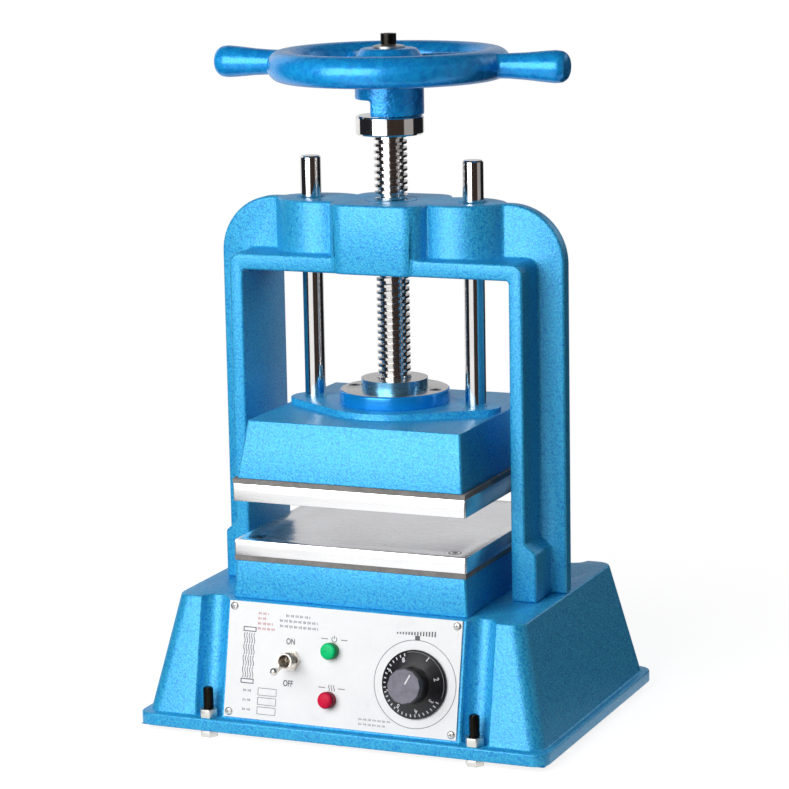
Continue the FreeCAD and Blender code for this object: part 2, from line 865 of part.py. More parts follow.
def lower_bolster():
    body = document.addObject("PartDesign::Body", "lower_bolster_block")
    walls = frustum(body, "lower_bolster_walls", lower_bolster_foot_width, lower_bolster_foot_depth,
                    base_top,
                    lower_bolster_top_width, lower_bolster_top_depth, board_bottom)
    rounded(body, "lower_bolster_corners", walls, bolster_edge, rises(lower_bolster_height))
    pocket = box("lower_bolster_pocket", pocket_width, pocket_width, pocket_depth + overrun,
                 z=board_bottom - pocket_depth)
    cable_hole = cylinder("lower_bolster_cable_hole", cable_hole_diameter, lower_bolster_height,
                          z=base_top - overrun)
    bolt_holes = holes("bolster_tapping", bolster_bolt_places,
                       bolster_bolt_diameter + 2 * running_clearance,
                       bolster_bolt_length - housing_roof + overrun, base_top - overrun)
    sunk = platen_screw_length - lower_platen_thickness - board_thickness + overrun
    screw_holes = holes("lower_platen_tapping", platen_screw_places,
                        platen_screw_diameter + 2 * running_clearance,
                        sunk + overrun, board_bottom - sunk)
    return cut("lower_bolster", body, pocket, cable_hole, *bolt_holes, *screw_holes)


def lower_platen():
    plate = platen("lower_platen_plate", lower_platen_bottom, lower_platen_thickness,
                   platen_screw_places, True)
    bore = cylinder("sensor_bore", sensor_diameter + 2 * running_clearance, sensor_length,
                    sensor_across,
                    platen_depth / 2 + overrun, lower_platen_bottom + lower_platen_thickness / 2,
                    X_AXIS, 90)
    return cut("lower_platen", plate, bore)


def heat_sensor():
    return cylinder("heat_sensor", sensor_diameter, sensor_length, sensor_across,
                    platen_depth / 2 + sensor_tail, lower_platen_bottom + lower_platen_thickness / 2,
                    X_AXIS, 90)


def bolster_bolts():
    return hex_bolts("bolster_bolts", bolster_bolt_places, bolster_bolt_diameter, bolster_bolt_flats,
                     bolster_bolt_head_height, bolster_bolt_length,
                     base_top - housing_roof - bolster_bolt_head_height)


def heater(name, level):
    return box(name, heater_width, heater_width, heater_thickness, z=level)


def wool_pad(name, level, height):
    return box(name, heater_width, heater_width, height, z=level)


# Moving head


def pad_hull():
    reach = rod_spacing / 2
    slope = (pad_centre_radius - pad_end_radius) / reach
    spread = root(1 - slope * slope)
    centre_x, centre_y = pad_centre_radius * slope, pad_centre_radius * spread
    end_x, end_y = reach + pad_end_radius * slope, pad_end_radius * spread
    body = document.addObject("PartDesign::Body", "pad_hull")
    outline = sketch(body, "pad_outline", "XY_Plane", [
        (-centre_x, -centre_y), (centre_x, -centre_y), (end_x, -end_y), (end_x, end_y),
        (centre_x, centre_y), (-centre_x, centre_y), (-end_x, end_y), (-end_x, -end_y)],
        upper_bolster_top - overrun)
    pad(body, "pad_block", outline, pad_height + overrun)
    return body


def upper_bolster():
    body = document.addObject("PartDesign::Body", "upper_bolster_block")
    walls = frustum(body, "upper_bolster_walls", upper_bolster_foot_width, upper_bolster_foot_depth,
                    upper_bolster_bottom, upper_bolster_top_width, upper_bolster_top_depth,
                    upper_bolster_top)
    rounded(body, "upper_bolster_corners", walls, bolster_edge, rises(upper_bolster_height))
    centre = cylinder("pad_centre", pad_centre_radius * 2, pad_height + overrun,
                      z=upper_bolster_top - overrun)
    ends = holes("pad_end", rod_places, pad_end_radius * 2, pad_height + overrun,
                 upper_bolster_top - overrun)
    solid = fuse("upper_bolster_solid", [body, pad_hull(), centre] + ends)
    pocket = box("upper_bolster_pocket", pocket_width, pocket_width, pocket_depth + overrun,
                 z=upper_bolster_bottom - overrun)
    thrust_pocket = cylinder("thrust_pocket", thrust_pocket_diameter, thrust_pocket_depth + overrun,
                             z=pad_top - thrust_pocket_depth)
    rod_holes = holes("rod_seat", rod_places, rod_diameter + 2 * running_clearance,
                      rod_seat_depth + overrun,
                      pad_top - rod_seat_depth)
    sunk = thrust_screw_length - thrust_flange_height + thrust_screw_head_height
    thrust_holes = holes("thrust_tapping", thrust_screw_places,
                         thrust_screw_diameter + 2 * running_clearance,
                         sunk + overrun, pad_top - sunk)
    reach = platen_screw_length - upper_platen_thickness - board_thickness + overrun
    screw_holes = holes("upper_platen_tapping", platen_screw_places,
                        platen_screw_diameter + 2 * running_clearance,
                        reach + overrun, upper_bolster_bottom - overrun)
    # The lead comes in by the rear wall and goes down a second hole into the heater's pocket
    drop_place = (pocket_width - gland_thread) / 2
    lead_hole = cylinder("head_lead_hole", gland_thread + 2 * seat_clearance, head_lead_length)
    head_rear_face.put(lead_hole, 0, head_gland_up, drop_place - upper_bolster_foot_depth / 2)
    lead_drop = cylinder("head_lead_drop", gland_thread, head_gland_up - pocket_depth + overrun,
                         y=drop_place, z=upper_bolster_bottom + pocket_depth - overrun)
    return cut("upper_bolster", solid, pocket, thrust_pocket, lead_hole, lead_drop, *rod_holes,
               *thrust_holes, *screw_holes)


def guide_rods():
    rods = []
    bottom = pad_top - rod_seat_depth
    for number, (x, y) in enumerate(rod_places, 1):
        shank = cylinder(f"rod_shank_{number}", rod_diameter, rod_length - rod_chamfer, x, y, bottom)
        tip = cone(f"rod_tip_{number}", rod_diameter, rod_diameter - 2 * rod_chamfer, rod_chamfer, x, y,
                   bottom + rod_length - rod_chamfer)
        rods.append(fuse(f"guide_rod_{number}", [shank, tip]))
    return group("guide_rods", rods)


def thrust_flange():
    disc = cylinder("thrust_flange_disc", thrust_flange_diameter,
                    thrust_flange_height - thrust_flange_edge, z=pad_top)
    edge = cone("thrust_flange_edge", thrust_flange_diameter,
                thrust_flange_diameter - 2 * thrust_flange_edge,
                thrust_flange_edge, z=thrust_flange_top - thrust_flange_edge)
    bore = cylinder("thrust_flange_bore", screw_diameter + 2 * seat_clearance,
                    thrust_flange_height + 2 * overrun, z=pad_top - overrun)
    shank_holes = holes("thrust_screw_hole", thrust_screw_places,
                        thrust_screw_diameter + 2 * running_clearance,
                        thrust_flange_height + 2 * overrun, pad_top - overrun)
    head_holes = holes("thrust_head_hole", thrust_screw_places, thrust_screw_head + 2 * seat_clearance,
                       thrust_screw_head_height + overrun, thrust_flange_top - thrust_screw_head_height)
    return cut("thrust_flange", fuse("thrust_flange_solid", [disc, edge]), bore, *shank_holes,
               *head_holes)


def thrust_flange_screws():
    screws = []
    for number, (x, y) in enumerate(thrust_screw_places, 1):
        head = cylinder(f"thrust_screw_head_{number}", thrust_screw_head, thrust_screw_head_height, x,
                        y,
                        thrust_flange_top - thrust_screw_head_height)
        shank = cylinder(f"thrust_screw_shank_{number}", thrust_screw_diameter, thrust_screw_length, x,
                         y,
                         thrust_flange_top - thrust_screw_head_height - thrust_screw_length)
        socket = prism(f"thrust_screw_socket_{number}", thrust_screw_socket, 6,
                       thrust_screw_head_height, x, y,
                       thrust_flange_top - thrust_screw_head_height / 2)
        screws.append(cut(f"thrust_screw_{number}", fuse(f"thrust_screw_blank_{number}", [head, shank]),
                          socket))
    return group("thrust_flange_screws", screws)


def thrust_retainer():
    ring = cylinder("retainer_ring", retainer_diameter, retainer_height, z=thrust_flange_top)
    bore = cylinder("retainer_bore", screw_diameter + 2 * seat_clearance, retainer_height + 2 * overrun,
                    z=thrust_flange_top - overrun)
    return cut("thrust_retainer", ring, bore)


def thrust_bearing():
    return cylinder("thrust_bearing", thrust_pocket_diameter - 2 * seat_clearance, bearing_thickness,
                    z=pad_top - thrust_pocket_depth)


# Lead screw and what turns with it


def lead_screw():
    foot_level = pad_top - thrust_play - screw_foot_thickness
    foot = cylinder("screw_foot", screw_foot_diameter, screw_foot_thickness, z=foot_level)
    thread = cylinder("screw_thread", screw_diameter, collar_bottom - foot_level, z=foot_level)
    journal = cylinder("screw_journal", journal_diameter, journal_top - collar_bottom, z=collar_bottom)
    tapping = cylinder("cap_screw_tapping", cap_screw_diameter + 2 * running_clearance,
                       cap_screw_length + overrun,
                       z=journal_top - cap_screw_length + washer_thickness)
    grub_hole = cylinder("grub_point_hole", grub_diameter + 2 * running_clearance, journal_diameter / 2, 0, 0,
                         collar_bottom + collar_height / 2, X_AXIS, -90)
    grub_seat = cut("grub_seat", grub_hole, cylinder("grub_stop", journal_diameter - 2 * grub_bite,
                                                     collar_height,
                                                     z=collar_bottom))
    return cut("lead_screw", fuse("lead_screw_solid", [foot, thread, journal]), tapping, grub_seat)


def drive_collar():
    ring = cylinder("collar_ring", collar_diameter, collar_height - 2 * collar_chamfer,
                    z=collar_bottom + collar_chamfer)
    low = cone("collar_low_chamfer", collar_diameter - 2 * collar_chamfer, collar_diameter,
               collar_chamfer,
               z=collar_bottom)
    high = cone("collar_high_chamfer", collar_diameter, collar_diameter - 2 * collar_chamfer,
                collar_chamfer,
                z=collar_top - collar_chamfer)
    dog = sector("collar_dog", collar_diameter - 2 * collar_chamfer,
                 journal_diameter + 2 * running_clearance,
                 dog_height - dog_gap + overrun, collar_dog_start, collar_dog_angle,
                 collar_top - overrun)
    bore = cylinder("collar_bore", journal_diameter + 2 * running_clearance,
                    collar_height + 2 * overrun, z=collar_bottom - overrun)
    grub_hole = cylinder("collar_grub_hole", grub_diameter + 2 * running_clearance, collar_diameter, 0,
                         0,
                         collar_bottom + collar_height / 2, X_AXIS, -90)
    return cut("drive_collar", fuse("collar_solid", [ring, low, high, dog]), bore, grub_hole)


def collar_grub_screw():
    length = (collar_diameter - journal_diameter) / 2 + grub_bite
    blank = cylinder("grub_blank", grub_diameter, length, 0, journal_diameter / 2 - grub_bite,
                     collar_bottom + collar_height / 2, X_AXIS, -90)
    socket = cylinder("grub_socket", grub_diameter / 2, length / 3, 0, collar_diameter / 2 - length / 3,
                      collar_bottom + collar_height / 2, X_AXIS, -90)
    return cut("collar_grub_screw", blank, socket)


def wheel_washer():
    disc = cylinder("washer_disc", washer_diameter, washer_thickness / 2, z=journal_top)
    dome = cone("washer_dome", washer_diameter, cap_screw_head, washer_thickness / 2,
                z=journal_top + washer_thickness / 2)
    bore = cylinder("washer_bore", cap_screw_diameter + 2 * running_clearance,
                    washer_thickness + 2 * overrun, z=journal_top - overrun)
    return cut("wheel_washer", fuse("washer_solid", [disc, dome]), bore)


def wheel_cap_screw():
    level = journal_top + washer_thickness
    head = cylinder("cap_screw_head", cap_screw_head, cap_screw_head_height, z=level)
    shank = cylinder("cap_screw_shank", cap_screw_diameter, cap_screw_length,
                     z=level - cap_screw_length)
    socket = prism("cap_screw_socket", cap_screw_socket, 6, cap_screw_head_height,
                   z=level + cap_screw_head_height / 2)
    return cut("wheel_cap_screw", fuse("cap_screw_solid", [head, shank]), socket)


# Handwheel


def handwheel():
    rim = document.addObject("Part::Torus", "wheel_rim")
    bind(rim, Radius1=rim_radius, Radius2=rim_tube / 2)
    place(rim, z=rim_level)
    waist = cylinder("hub_waist", hub_diameter, hub_waist, z=hub_bottom)
    flare = cone("hub_flare", hub_diameter, hub_crown_diameter,
                 hub_height - hub_waist - hub_crown_height,
                 z=hub_bottom + hub_waist)
    crown = cone("hub_crown", hub_crown_diameter, hub_top_diameter, hub_crown_height,
                 z=hub_top - hub_crown_height)
    dog = sector("wheel_dog", hub_diameter, journal_diameter + 2 * running_clearance,
                 dog_height - dog_gap + overrun, wheel_dog_start, wheel_dog_angle, collar_top + dog_gap)
    solids = [rim, waist, flare, crown, dog]
    for number in range(spoke_count):
        angle = math.radians(spoke_turn.number + 360 * number / spoke_count)
        across = FreeCAD.Vector(-math.sin(angle), math.cos(angle), 0)
        solids.append(cylinder(f"spoke_{number + 1}", spoke_thickness, rim_radius, z=rim_level,
                               axis=across, turn=90))
    for side in SIDES:
        grip_length = handle_reach - handle_end / 2 - rim_radius
        grip = cone(f"handle_grip_{side}", handle_neck, handle_end, grip_length, rim_radius * side, 0,
                    rim_level,
                    Y_AXIS, 90 * side)
        ball = document.addObject("Part::Sphere", f"handle_ball_{side}")
        bind(ball, Radius=handle_end / 2)
        place(ball, (handle_reach - handle_end / 2) * side, 0, rim_level)
        solids += [grip, ball]
    bore = cylinder("wheel_bore", journal_diameter + 2 * running_clearance, hub_height + dog_height,
                    z=collar_top)
    return cut("handwheel", fuse("wheel_solid", solids), bore)


# Control panel


def control_panel():
    plate = box("panel_plate", panel_width, panel_height, panel_thickness)
    front_face.put(plate, -(panel_width / 2), panel_low, sized(0))
    depth = panel_thickness + 2 * overrun
    cuts = [panel_rod("switch_hole", switch_bush_diameter + 2 * running_clearance, depth, switch_across,
                      switch_up,
                      -overrun),
            panel_rod("thermostat_hole", thermostat_bush + 2 * running_clearance, depth, dial_across,
                      dial_up,
                      -overrun)]
    for colour, up in lamp_places.items():
        cuts.append(panel_rod(f"{colour}_lamp_hole", lamp_barrel_diameter + 2 * running_clearance,
                              depth,
                              lamp_across, up, -overrun))
    for number, (across, up) in enumerate(panel_screw_places, 1):
        cuts.append(panel_rod(f"panel_screw_hole_{number}",
                              panel_screw_diameter + 2 * running_clearance, depth,
                              across, up, -overrun))
    return cut("control_panel", plate, *cuts)


def panel_screws():
    screws = []
    for number, (across, up) in enumerate(panel_screw_places, 1):
        head = front_face.put(cone(f"panel_screw_head_{number}", panel_screw_head, panel_screw_top,
                                   panel_thickness), across, up, panel_thickness)
        shank = panel_rod(f"panel_screw_shank_{number}", panel_screw_diameter,
                          panel_screw_length + panel_thickness,
                          across, up, -panel_screw_length)
        screws.append(fuse(f"panel_screw_{number}", [head, shank]))
    return group("panel_screws", screws)


def power_switch():
    body = box("switch_block", switch_body_width, switch_body_height, switch_body_depth)
    front_face.put(body, switch_across - switch_body_width / 2, switch_up - switch_body_height / 2,
                   -switch_body_depth)
    bush = panel_rod("switch_bush", switch_bush_diameter,
                     switch_bush_length + panel_thickness + overrun, switch_across,
                     switch_up, -overrun)
    bore = panel_rod("switch_bore", switch_bush_bore,
                     switch_bush_length + panel_thickness + 2 * lever_ball_diameter, switch_across,
                     switch_up, -lever_ball_diameter)
    return cut("power_switch", fuse("switch_solid", [body, bush]), bore)


def switch_nut():
    nut = prism("switch_nut_blank", switch_nut_flats, 6, switch_nut_height)
    front_face.put(nut, switch_across, switch_up, panel_thickness)
    bore = panel_rod("switch_nut_bore", switch_bush_diameter + 2 * running_clearance,
                     switch_nut_height + 2 * overrun,
                     switch_across, switch_up, panel_thickness - overrun)
    return cut("switch_nut", nut, bore)


def switch_lever():
    ball = document.addObject("Part::Sphere", "lever_ball")
    bind(ball, Radius=lever_ball_diameter / 2)
    tip = document.addObject("Part::Sphere", "lever_tip")
    bind(tip, Radius=lever_tip_diameter / 2)
    stem = cone("lever_stem", lever_diameter, lever_neck_diameter, lever_length)
    for item in (ball, stem):
        front_face.put(item, switch_across, switch_up, sized(0))
    lean = front_face.lean + lever_tilt
    y = -(switch_pivot_depth + lever_length * Size(math.sin(math.radians(lean.number)),
                                                   f"sin({lean.text})"))
    z = switch_pivot_level + lever_length * Size(math.cos(math.radians(lean.number)),
                                                 f"cos({lean.text})")
    stem.Placement.Rotation = FreeCAD.Rotation(X_AXIS, lean.number)
    stem.setExpression("Placement.Rotation.Angle", lean.text)
    place(tip, switch_across, y, z)
    pin = cylinder("lever_pin", lever_pin_diameter, lever_pin_length, switch_across - lever_pin_length / 2,
                   -switch_pivot_depth, switch_pivot_level, Y_AXIS, 90)
    return fuse("switch_lever", [ball, stem, tip, pin])


def lamp_lens(colour):
    up = lamp_places[colour]
    straight = lamp_height - lamp_dome
    drum = panel_rod(f"{colour}_lens_drum", lamp_diameter, straight, lamp_across, up, panel_thickness)
    dome = front_face.put(cone(f"{colour}_lens_dome", lamp_diameter, lamp_diameter - 2 * lamp_dome,
                               lamp_dome),
                          lamp_across, up, panel_thickness + straight)
    return fuse(f"{colour}_lamp_lens", [drum, dome])


def lamp_barrels():
    return group("lamp_barrels", [panel_rod(f"{colour}_lamp_barrel", lamp_barrel_diameter,
                                            lamp_barrel_length + panel_thickness, lamp_across, up,
                                            -lamp_barrel_length) for colour, up in lamp_places.items()])


def thermostat():
    body = box("thermostat_case", thermostat_width, thermostat_width, thermostat_depth)
    front_face.put(body, dial_across - thermostat_width / 2, dial_up - thermostat_width / 2,
                   -thermostat_depth)
    bush = panel_rod("thermostat_bush", thermostat_bush, panel_thickness + overrun, dial_across,
                     dial_up, -overrun)
    bore = panel_rod("thermostat_bore", shaft_diameter + 2 * running_clearance, shaft_length,
                     dial_across, dial_up,
                     -shaft_sunk)
    return cut("thermostat", fuse("thermostat_solid", [body, bush]), bore)


def dial_shaft():
    return panel_rod("dial_shaft", shaft_diameter, shaft_length, dial_across, dial_up,
                     -shaft_sunk + running_clearance)


def temperature_dial():
    skirt = front_face.put(cone("dial_skirt", dial_diameter, dial_face_diameter, dial_height),
                           dial_across, dial_up,
                           dial_out)
    bore = panel_rod("dial_bore", shaft_diameter + 2 * running_clearance, dial_height + 2 * overrun,
                     dial_across, dial_up,
                     dial_out - overrun)
    return cut("temperature_dial", skirt, bore)


def temperature_knob():
    grip = prism("knob_grip", knob_diameter, knob_sides, knob_height)
    front_face.put(grip, dial_across, dial_up, dial_out + dial_height)
    taper = front_face.put(cone("knob_taper", knob_foot_diameter, knob_face_diameter, knob_height),
                           dial_across,
                           dial_up, dial_out + dial_height)
    bore = panel_rod("knob_bore", shaft_diameter + 2 * running_clearance, shaft_length, dial_across,
                     dial_up,
                     -shaft_sunk + running_clearance)
    return cut("temperature_knob", common("knob_blank", [grip, taper]), bore)


# Rear fittings and terminals


def gland(name, face, across, up):
    inside = housing_wall + seat_clearance + gland_nut_height
    thread = face.put(cylinder(f"{name}_thread", gland_thread, gland_nut_height + inside), across, up,
                      -inside)
    outer = face.put(prism(f"{name}_hexagon", gland_nut_flats, 6, gland_nut_height), across, up,
                     sized(0))
    cap = face.put(cone(f"{name}_cap", gland_cap_diameter, gland_thread,
                        gland_length - gland_nut_height), across, up,
                   gland_nut_height)
    bore = face.put(cylinder(f"{name}_bore", gland_bore, gland_length + inside + 2 * overrun), across,
                    up, -inside - overrun)
    return cut(name, fuse(f"{name}_solid", [thread, outer, cap]), bore)


def terminal_block():
    block = box("terminal_blank", terminal_width, terminal_depth, terminal_height,
                y=housing_top_depth / 4, z=flange_bottom + cover_thickness)
    ways = [box(f"terminal_way_{number + 1}", terminal_width / (2 * terminal_ways),
                terminal_depth + 2 * overrun,
                terminal_height / 2, terminal_width * ((number + 0.25) / terminal_ways - 0.5),
                housing_top_depth / 4 - overrun, flange_bottom + cover_thickness + terminal_way_level)
            for number in range(terminal_ways)]
    return cut("terminal_block", block, *ways)


nodes = [
    base_housing(), base_cover(), cover_screws(), mounting_bolts(), mounting_nuts(),
    press_frame(), screw_nut(), guide_bushes(), frame_bolts(),
    lower_bolster(), bolster_bolts(), insulation_board("lower_insulation", board_bottom,
                                                       platen_screw_places),
    wool_pad("lower_wool_pad", board_bottom - pocket_depth,
             pocket_depth + board_thickness - heater_thickness),
    heater("lower_heater", lower_platen_bottom - heater_thickness),
    lower_platen(), platen_screws("lower_platen_screws", lower_platen_top, True), heat_sensor(),
    platen("upper_platen", upper_platen_bottom, upper_platen_thickness, platen_screw_places, False),
    platen_screws("upper_platen_screws", upper_platen_bottom, False),
    insulation_board("upper_insulation", upper_platen_top, platen_screw_places),
    heater("upper_heater", upper_platen_top),
    wool_pad("upper_wool_pad", upper_platen_top + heater_thickness,
             pocket_depth + board_thickness - heater_thickness),
    upper_bolster(), guide_rods(), thrust_bearing(), thrust_flange(), thrust_flange_screws(),
    thrust_retainer(),
    gland("head_lead_gland", head_rear_face, sized(0), head_gland_up),
    lead_screw(), drive_collar(), collar_grub_screw(), wheel_washer(), wheel_cap_screw(),
    handwheel(),
    control_panel(), panel_screws(), power_switch(), switch_nut(), switch_lever(),
    lamp_lens("green"), lamp_lens("red"), lamp_barrels(), thermostat(),
    dial_shaft(), temperature_dial(), temperature_knob(),
    gland("mains_gland", rear_face, gland_spacing / -2, gland_up),
    gland("base_lead_gland", rear_face, gland_spacing / 2, gland_up),
    terminal_block(),
]
document.recompute()

for item in document.Objects:
    if "Invalid" in item.State or "Error" in item.State:
        raise RuntimeError(f"{item.Label} could not be built: {item.State}")
os.makedirs("parts", exist_ok=True)
for item in nodes:
    if item.Shape.isNull() or not item.Shape.isValid():
        raise RuntimeError(f"{item.Label} has no valid shape")
    item.Shape.exportStep(f"parts/{item.Label}.step")
    box_text = item.Shape.BoundBox
    print(f"{item.Label}: {len(item.Shape.Solids)} solids, {item.Shape.Volume / 1000:.1f} cm3, "
          f"z {box_text.ZMin:.1f} to {box_text.ZMax:.1f}")
print(f"{len(nodes)} parts written")
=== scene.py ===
import bpy
import bmesh
import json
import math
from mathutils import Matrix, Vector


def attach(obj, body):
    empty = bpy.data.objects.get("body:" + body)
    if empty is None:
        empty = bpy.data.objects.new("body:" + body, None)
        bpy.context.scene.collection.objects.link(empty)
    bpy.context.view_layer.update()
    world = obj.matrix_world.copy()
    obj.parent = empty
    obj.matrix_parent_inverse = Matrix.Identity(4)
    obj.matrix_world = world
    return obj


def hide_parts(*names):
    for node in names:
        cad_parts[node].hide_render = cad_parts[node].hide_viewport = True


# A bench screw press that cures rubber moulds between two heated platens.
# Metres, +Z up, the control panel towards -Y, the origin on the bench under the lead screw.

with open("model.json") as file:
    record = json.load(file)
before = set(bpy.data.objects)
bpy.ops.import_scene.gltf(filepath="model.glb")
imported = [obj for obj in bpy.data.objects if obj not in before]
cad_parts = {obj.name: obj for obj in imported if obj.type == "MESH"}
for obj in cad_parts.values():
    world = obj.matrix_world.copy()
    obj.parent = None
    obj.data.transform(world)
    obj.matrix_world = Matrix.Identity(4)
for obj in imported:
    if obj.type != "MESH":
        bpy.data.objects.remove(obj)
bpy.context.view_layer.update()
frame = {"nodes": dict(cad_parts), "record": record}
nodes = frame["nodes"]
mm = 0.001
print("frame loaded:", len(nodes), "nodes")


# Materials

def linearColour(hexText):
    channels = [int(hexText[place:place + 2], 16) / 255 for place in (1, 3, 5)]
    linear = [value / 12.92 if value <= 0.04045 else ((value + 0.055) / 1.055) ** 2.4 for value in channels]
    return (*linear, 1.0)


def addNode(material, kind, inputs=None, **settings):
    node = material.node_tree.nodes.new("ShaderNode" + kind)
    for name, value in settings.items():
        setattr(node, name, value)
    for name, value in (inputs or {}).items():
        if isinstance(value, bpy.types.NodeSocket):
            material.node_tree.links.new(value, node.inputs[name])
        else:
            node.inputs[name].default_value = value
    return node


def newMaterial(name):
    material = bpy.data.materials.new(name)
    material.use_nodes = True
    material.node_tree.nodes.clear()
    return material


def finishMaterial(material, shader):
    addNode(material, "OutputMaterial", {"Surface": shader.outputs[0]})
    return material


# Hammered enamel: silicone in the paint draws it into small cells while it dries, so a casting gets
# a pebbled skin with paler islands and deeper blue between them, and a broken, sparkling gloss.
def makeHammeredEnamel(name, look):
    material = newMaterial(name)
    place = addNode(material, "TexCoord").outputs["Object"]
    wobble = addNode(material, "TexNoise", {"Vector": place, "Scale": 1 / (look["grainMm"] * 2 * mm)})
    bent = addNode(material, "Mix", {0: look["wobble"], 4: place, 5: wobble.outputs["Color"]},
                   data_type="VECTOR").outputs[1]
    cells = addNode(material, "TexVoronoi", {"Vector": bent, "Scale": 1 / (look["grainMm"] * mm)},
                    feature="SMOOTH_F1")
    mottle = addNode(material, "TexNoise", {"Vector": place, "Scale": 1 / (look["mottleMm"] * mm),
                                            "Detail": 3.0})
    island = addNode(material, "MapRange", {"Value": cells.outputs["Distance"], "From Min": 0.15,
                                            "From Max": 0.62, "To Min": 1.0, "To Max": 0.0})
    patch = addNode(material, "MapRange", {"Value": mottle.outputs["Fac"], "From Min": 0.36,
                                           "From Max": 0.64})
    ground = addNode(material, "Mix", {0: patch.outputs["Result"], 6: linearColour(look["deep"]),
                                       7: linearColour(look["middle"])}, data_type="RGBA").outputs[2]
    share = addNode(material, "Math", {0: island.outputs["Result"], 1: look["islands"]},
                    operation="MULTIPLY")
    skin = addNode(material, "Mix", {0: share.outputs[0], 6: ground, 7: linearColour(look["pale"])},
                   data_type="RGBA").outputs[2]
    gloss = addNode(material, "MapRange", {"Value": mottle.outputs["Fac"], "From Min": 0.3, "From Max": 0.7,
                                           "To Min": look["roughness"] - 0.07,
                                           "To Max": look["roughness"] + 0.07})
    level = addNode(material, "SeparateXYZ", {"Vector": place}).outputs["Z"]
    strength = addNode(material, "MapRange", {"Value": level, "From Min": look.get("coarseBelow", 10.0),
                                              "From Max": look.get("coarseBelow", 10.0) - 0.005,
                                              "To Min": look.get("fineBump", 1.0), "To Max": 1.0})
    pebbles = addNode(material, "Bump", {
        "Height": island.outputs["Result"], "Distance": look["bumpMm"] * mm,
        "Strength": strength.outputs["Result"]})
    shader = addNode(material, "BsdfPrincipled", {
        "Base Color": skin, "Roughness": gloss.outputs["Result"], "Normal": pebbles.outputs["Normal"],
        "IOR": 1.5, "Specular IOR Level": look["gloss"], "Coat Weight": look["coat"],
        "Coat Roughness": 0.25, "Metallic": look["flake"]})
    return finishMaterial(material, shader)


# Ground and polished steel: grinding leaves hair lines round the bar, far finer than a pixel, which
# stretch each reflection along it. They are drawn about 0.4 mm apart so that they show.
def makeTurnedSteel(name, look):
    material = newMaterial(name)
    place = addNode(material, "TexCoord").outputs["Object"]
    stretch = addNode(material, "Mapping", {"Vector": place, "Scale": look["stretch"]}).outputs[0]
    lines = addNode(material, "TexNoise", {"Vector": stretch, "Scale": 1 / (look["lineMm"] * mm),
                                           "Detail": 2.0})
    cloud = addNode(material, "TexNoise", {"Vector": place, "Scale": 1 / (look["cloudMm"] * mm)})
    tone = addNode(material, "Mix", {0: cloud.outputs["Fac"], 6: linearColour(look["dark"]),
                                     7: linearColour(look["light"])}, data_type="RGBA").outputs[2]
    gloss = addNode(material, "MapRange", {"Value": lines.outputs["Fac"], "From Min": 0.3, "From Max": 0.7,
                                           "To Min": look["roughness"] * 0.8,
                                           "To Max": look["roughness"] * 1.25})
    scratches = addNode(material, "Bump", {"Height": lines.outputs["Fac"], "Strength": 0.6,
                                           "Distance": look["bumpMm"] * mm})
    shader = addNode(material, "BsdfPrincipled", {
        "Base Color": tone, "Metallic": 1.0, "Roughness": gloss.outputs["Result"],
        "Normal": scratches.outputs["Normal"]})
    return finishMaterial(material, shader)


# Moulded plastic, board and sheet: an even colour with a fine cast grain and slightly uneven gloss.
def makeMoulded(name, look):
    material = newMaterial(name)
    place = addNode(material, "TexCoord").outputs["Object"]
    grain = addNode(material, "TexNoise", {"Vector": place, "Scale": 1 / (look["grainMm"] * mm),
                                           "Detail": 4.0})
    cloud = addNode(material, "TexNoise", {"Vector": place, "Scale": 1 / (look["grainMm"] * 12 * mm)})
    mixed = addNode(material, "Math", {0: grain.outputs["Fac"], 1: cloud.outputs["Fac"]},
                    operation="MULTIPLY")
    share = addNode(material, "MapRange", {"Value": mixed.outputs[0], "From Min": 0.15, "From Max": 0.4})
    tone = addNode(material, "Mix", {0: share.outputs["Result"], 6: linearColour(look["dark"]),
                                     7: linearColour(look["light"])}, data_type="RGBA").outputs[2]
    gloss = addNode(material, "MapRange", {"Value": cloud.outputs["Fac"], "From Min": 0.3, "From Max": 0.7,
                                           "To Min": look["roughness"] - 0.05,
                                           "To Max": look["roughness"] + 0.05})
    bump = addNode(material, "Bump", {"Height": grain.outputs["Fac"], "Strength": 0.5,
                                      "Distance": look["bumpMm"] * mm})
    shader = addNode(material, "BsdfPrincipled", {
        "Base Color": tone, "Roughness": gloss.outputs["Result"], "Normal": bump.outputs["Normal"],
        "IOR": 1.49, "Specular IOR Level": look.get("gloss", 0.5), "Coat Weight": look.get("coat", 0.0)})
    return finishMaterial(material, shader)


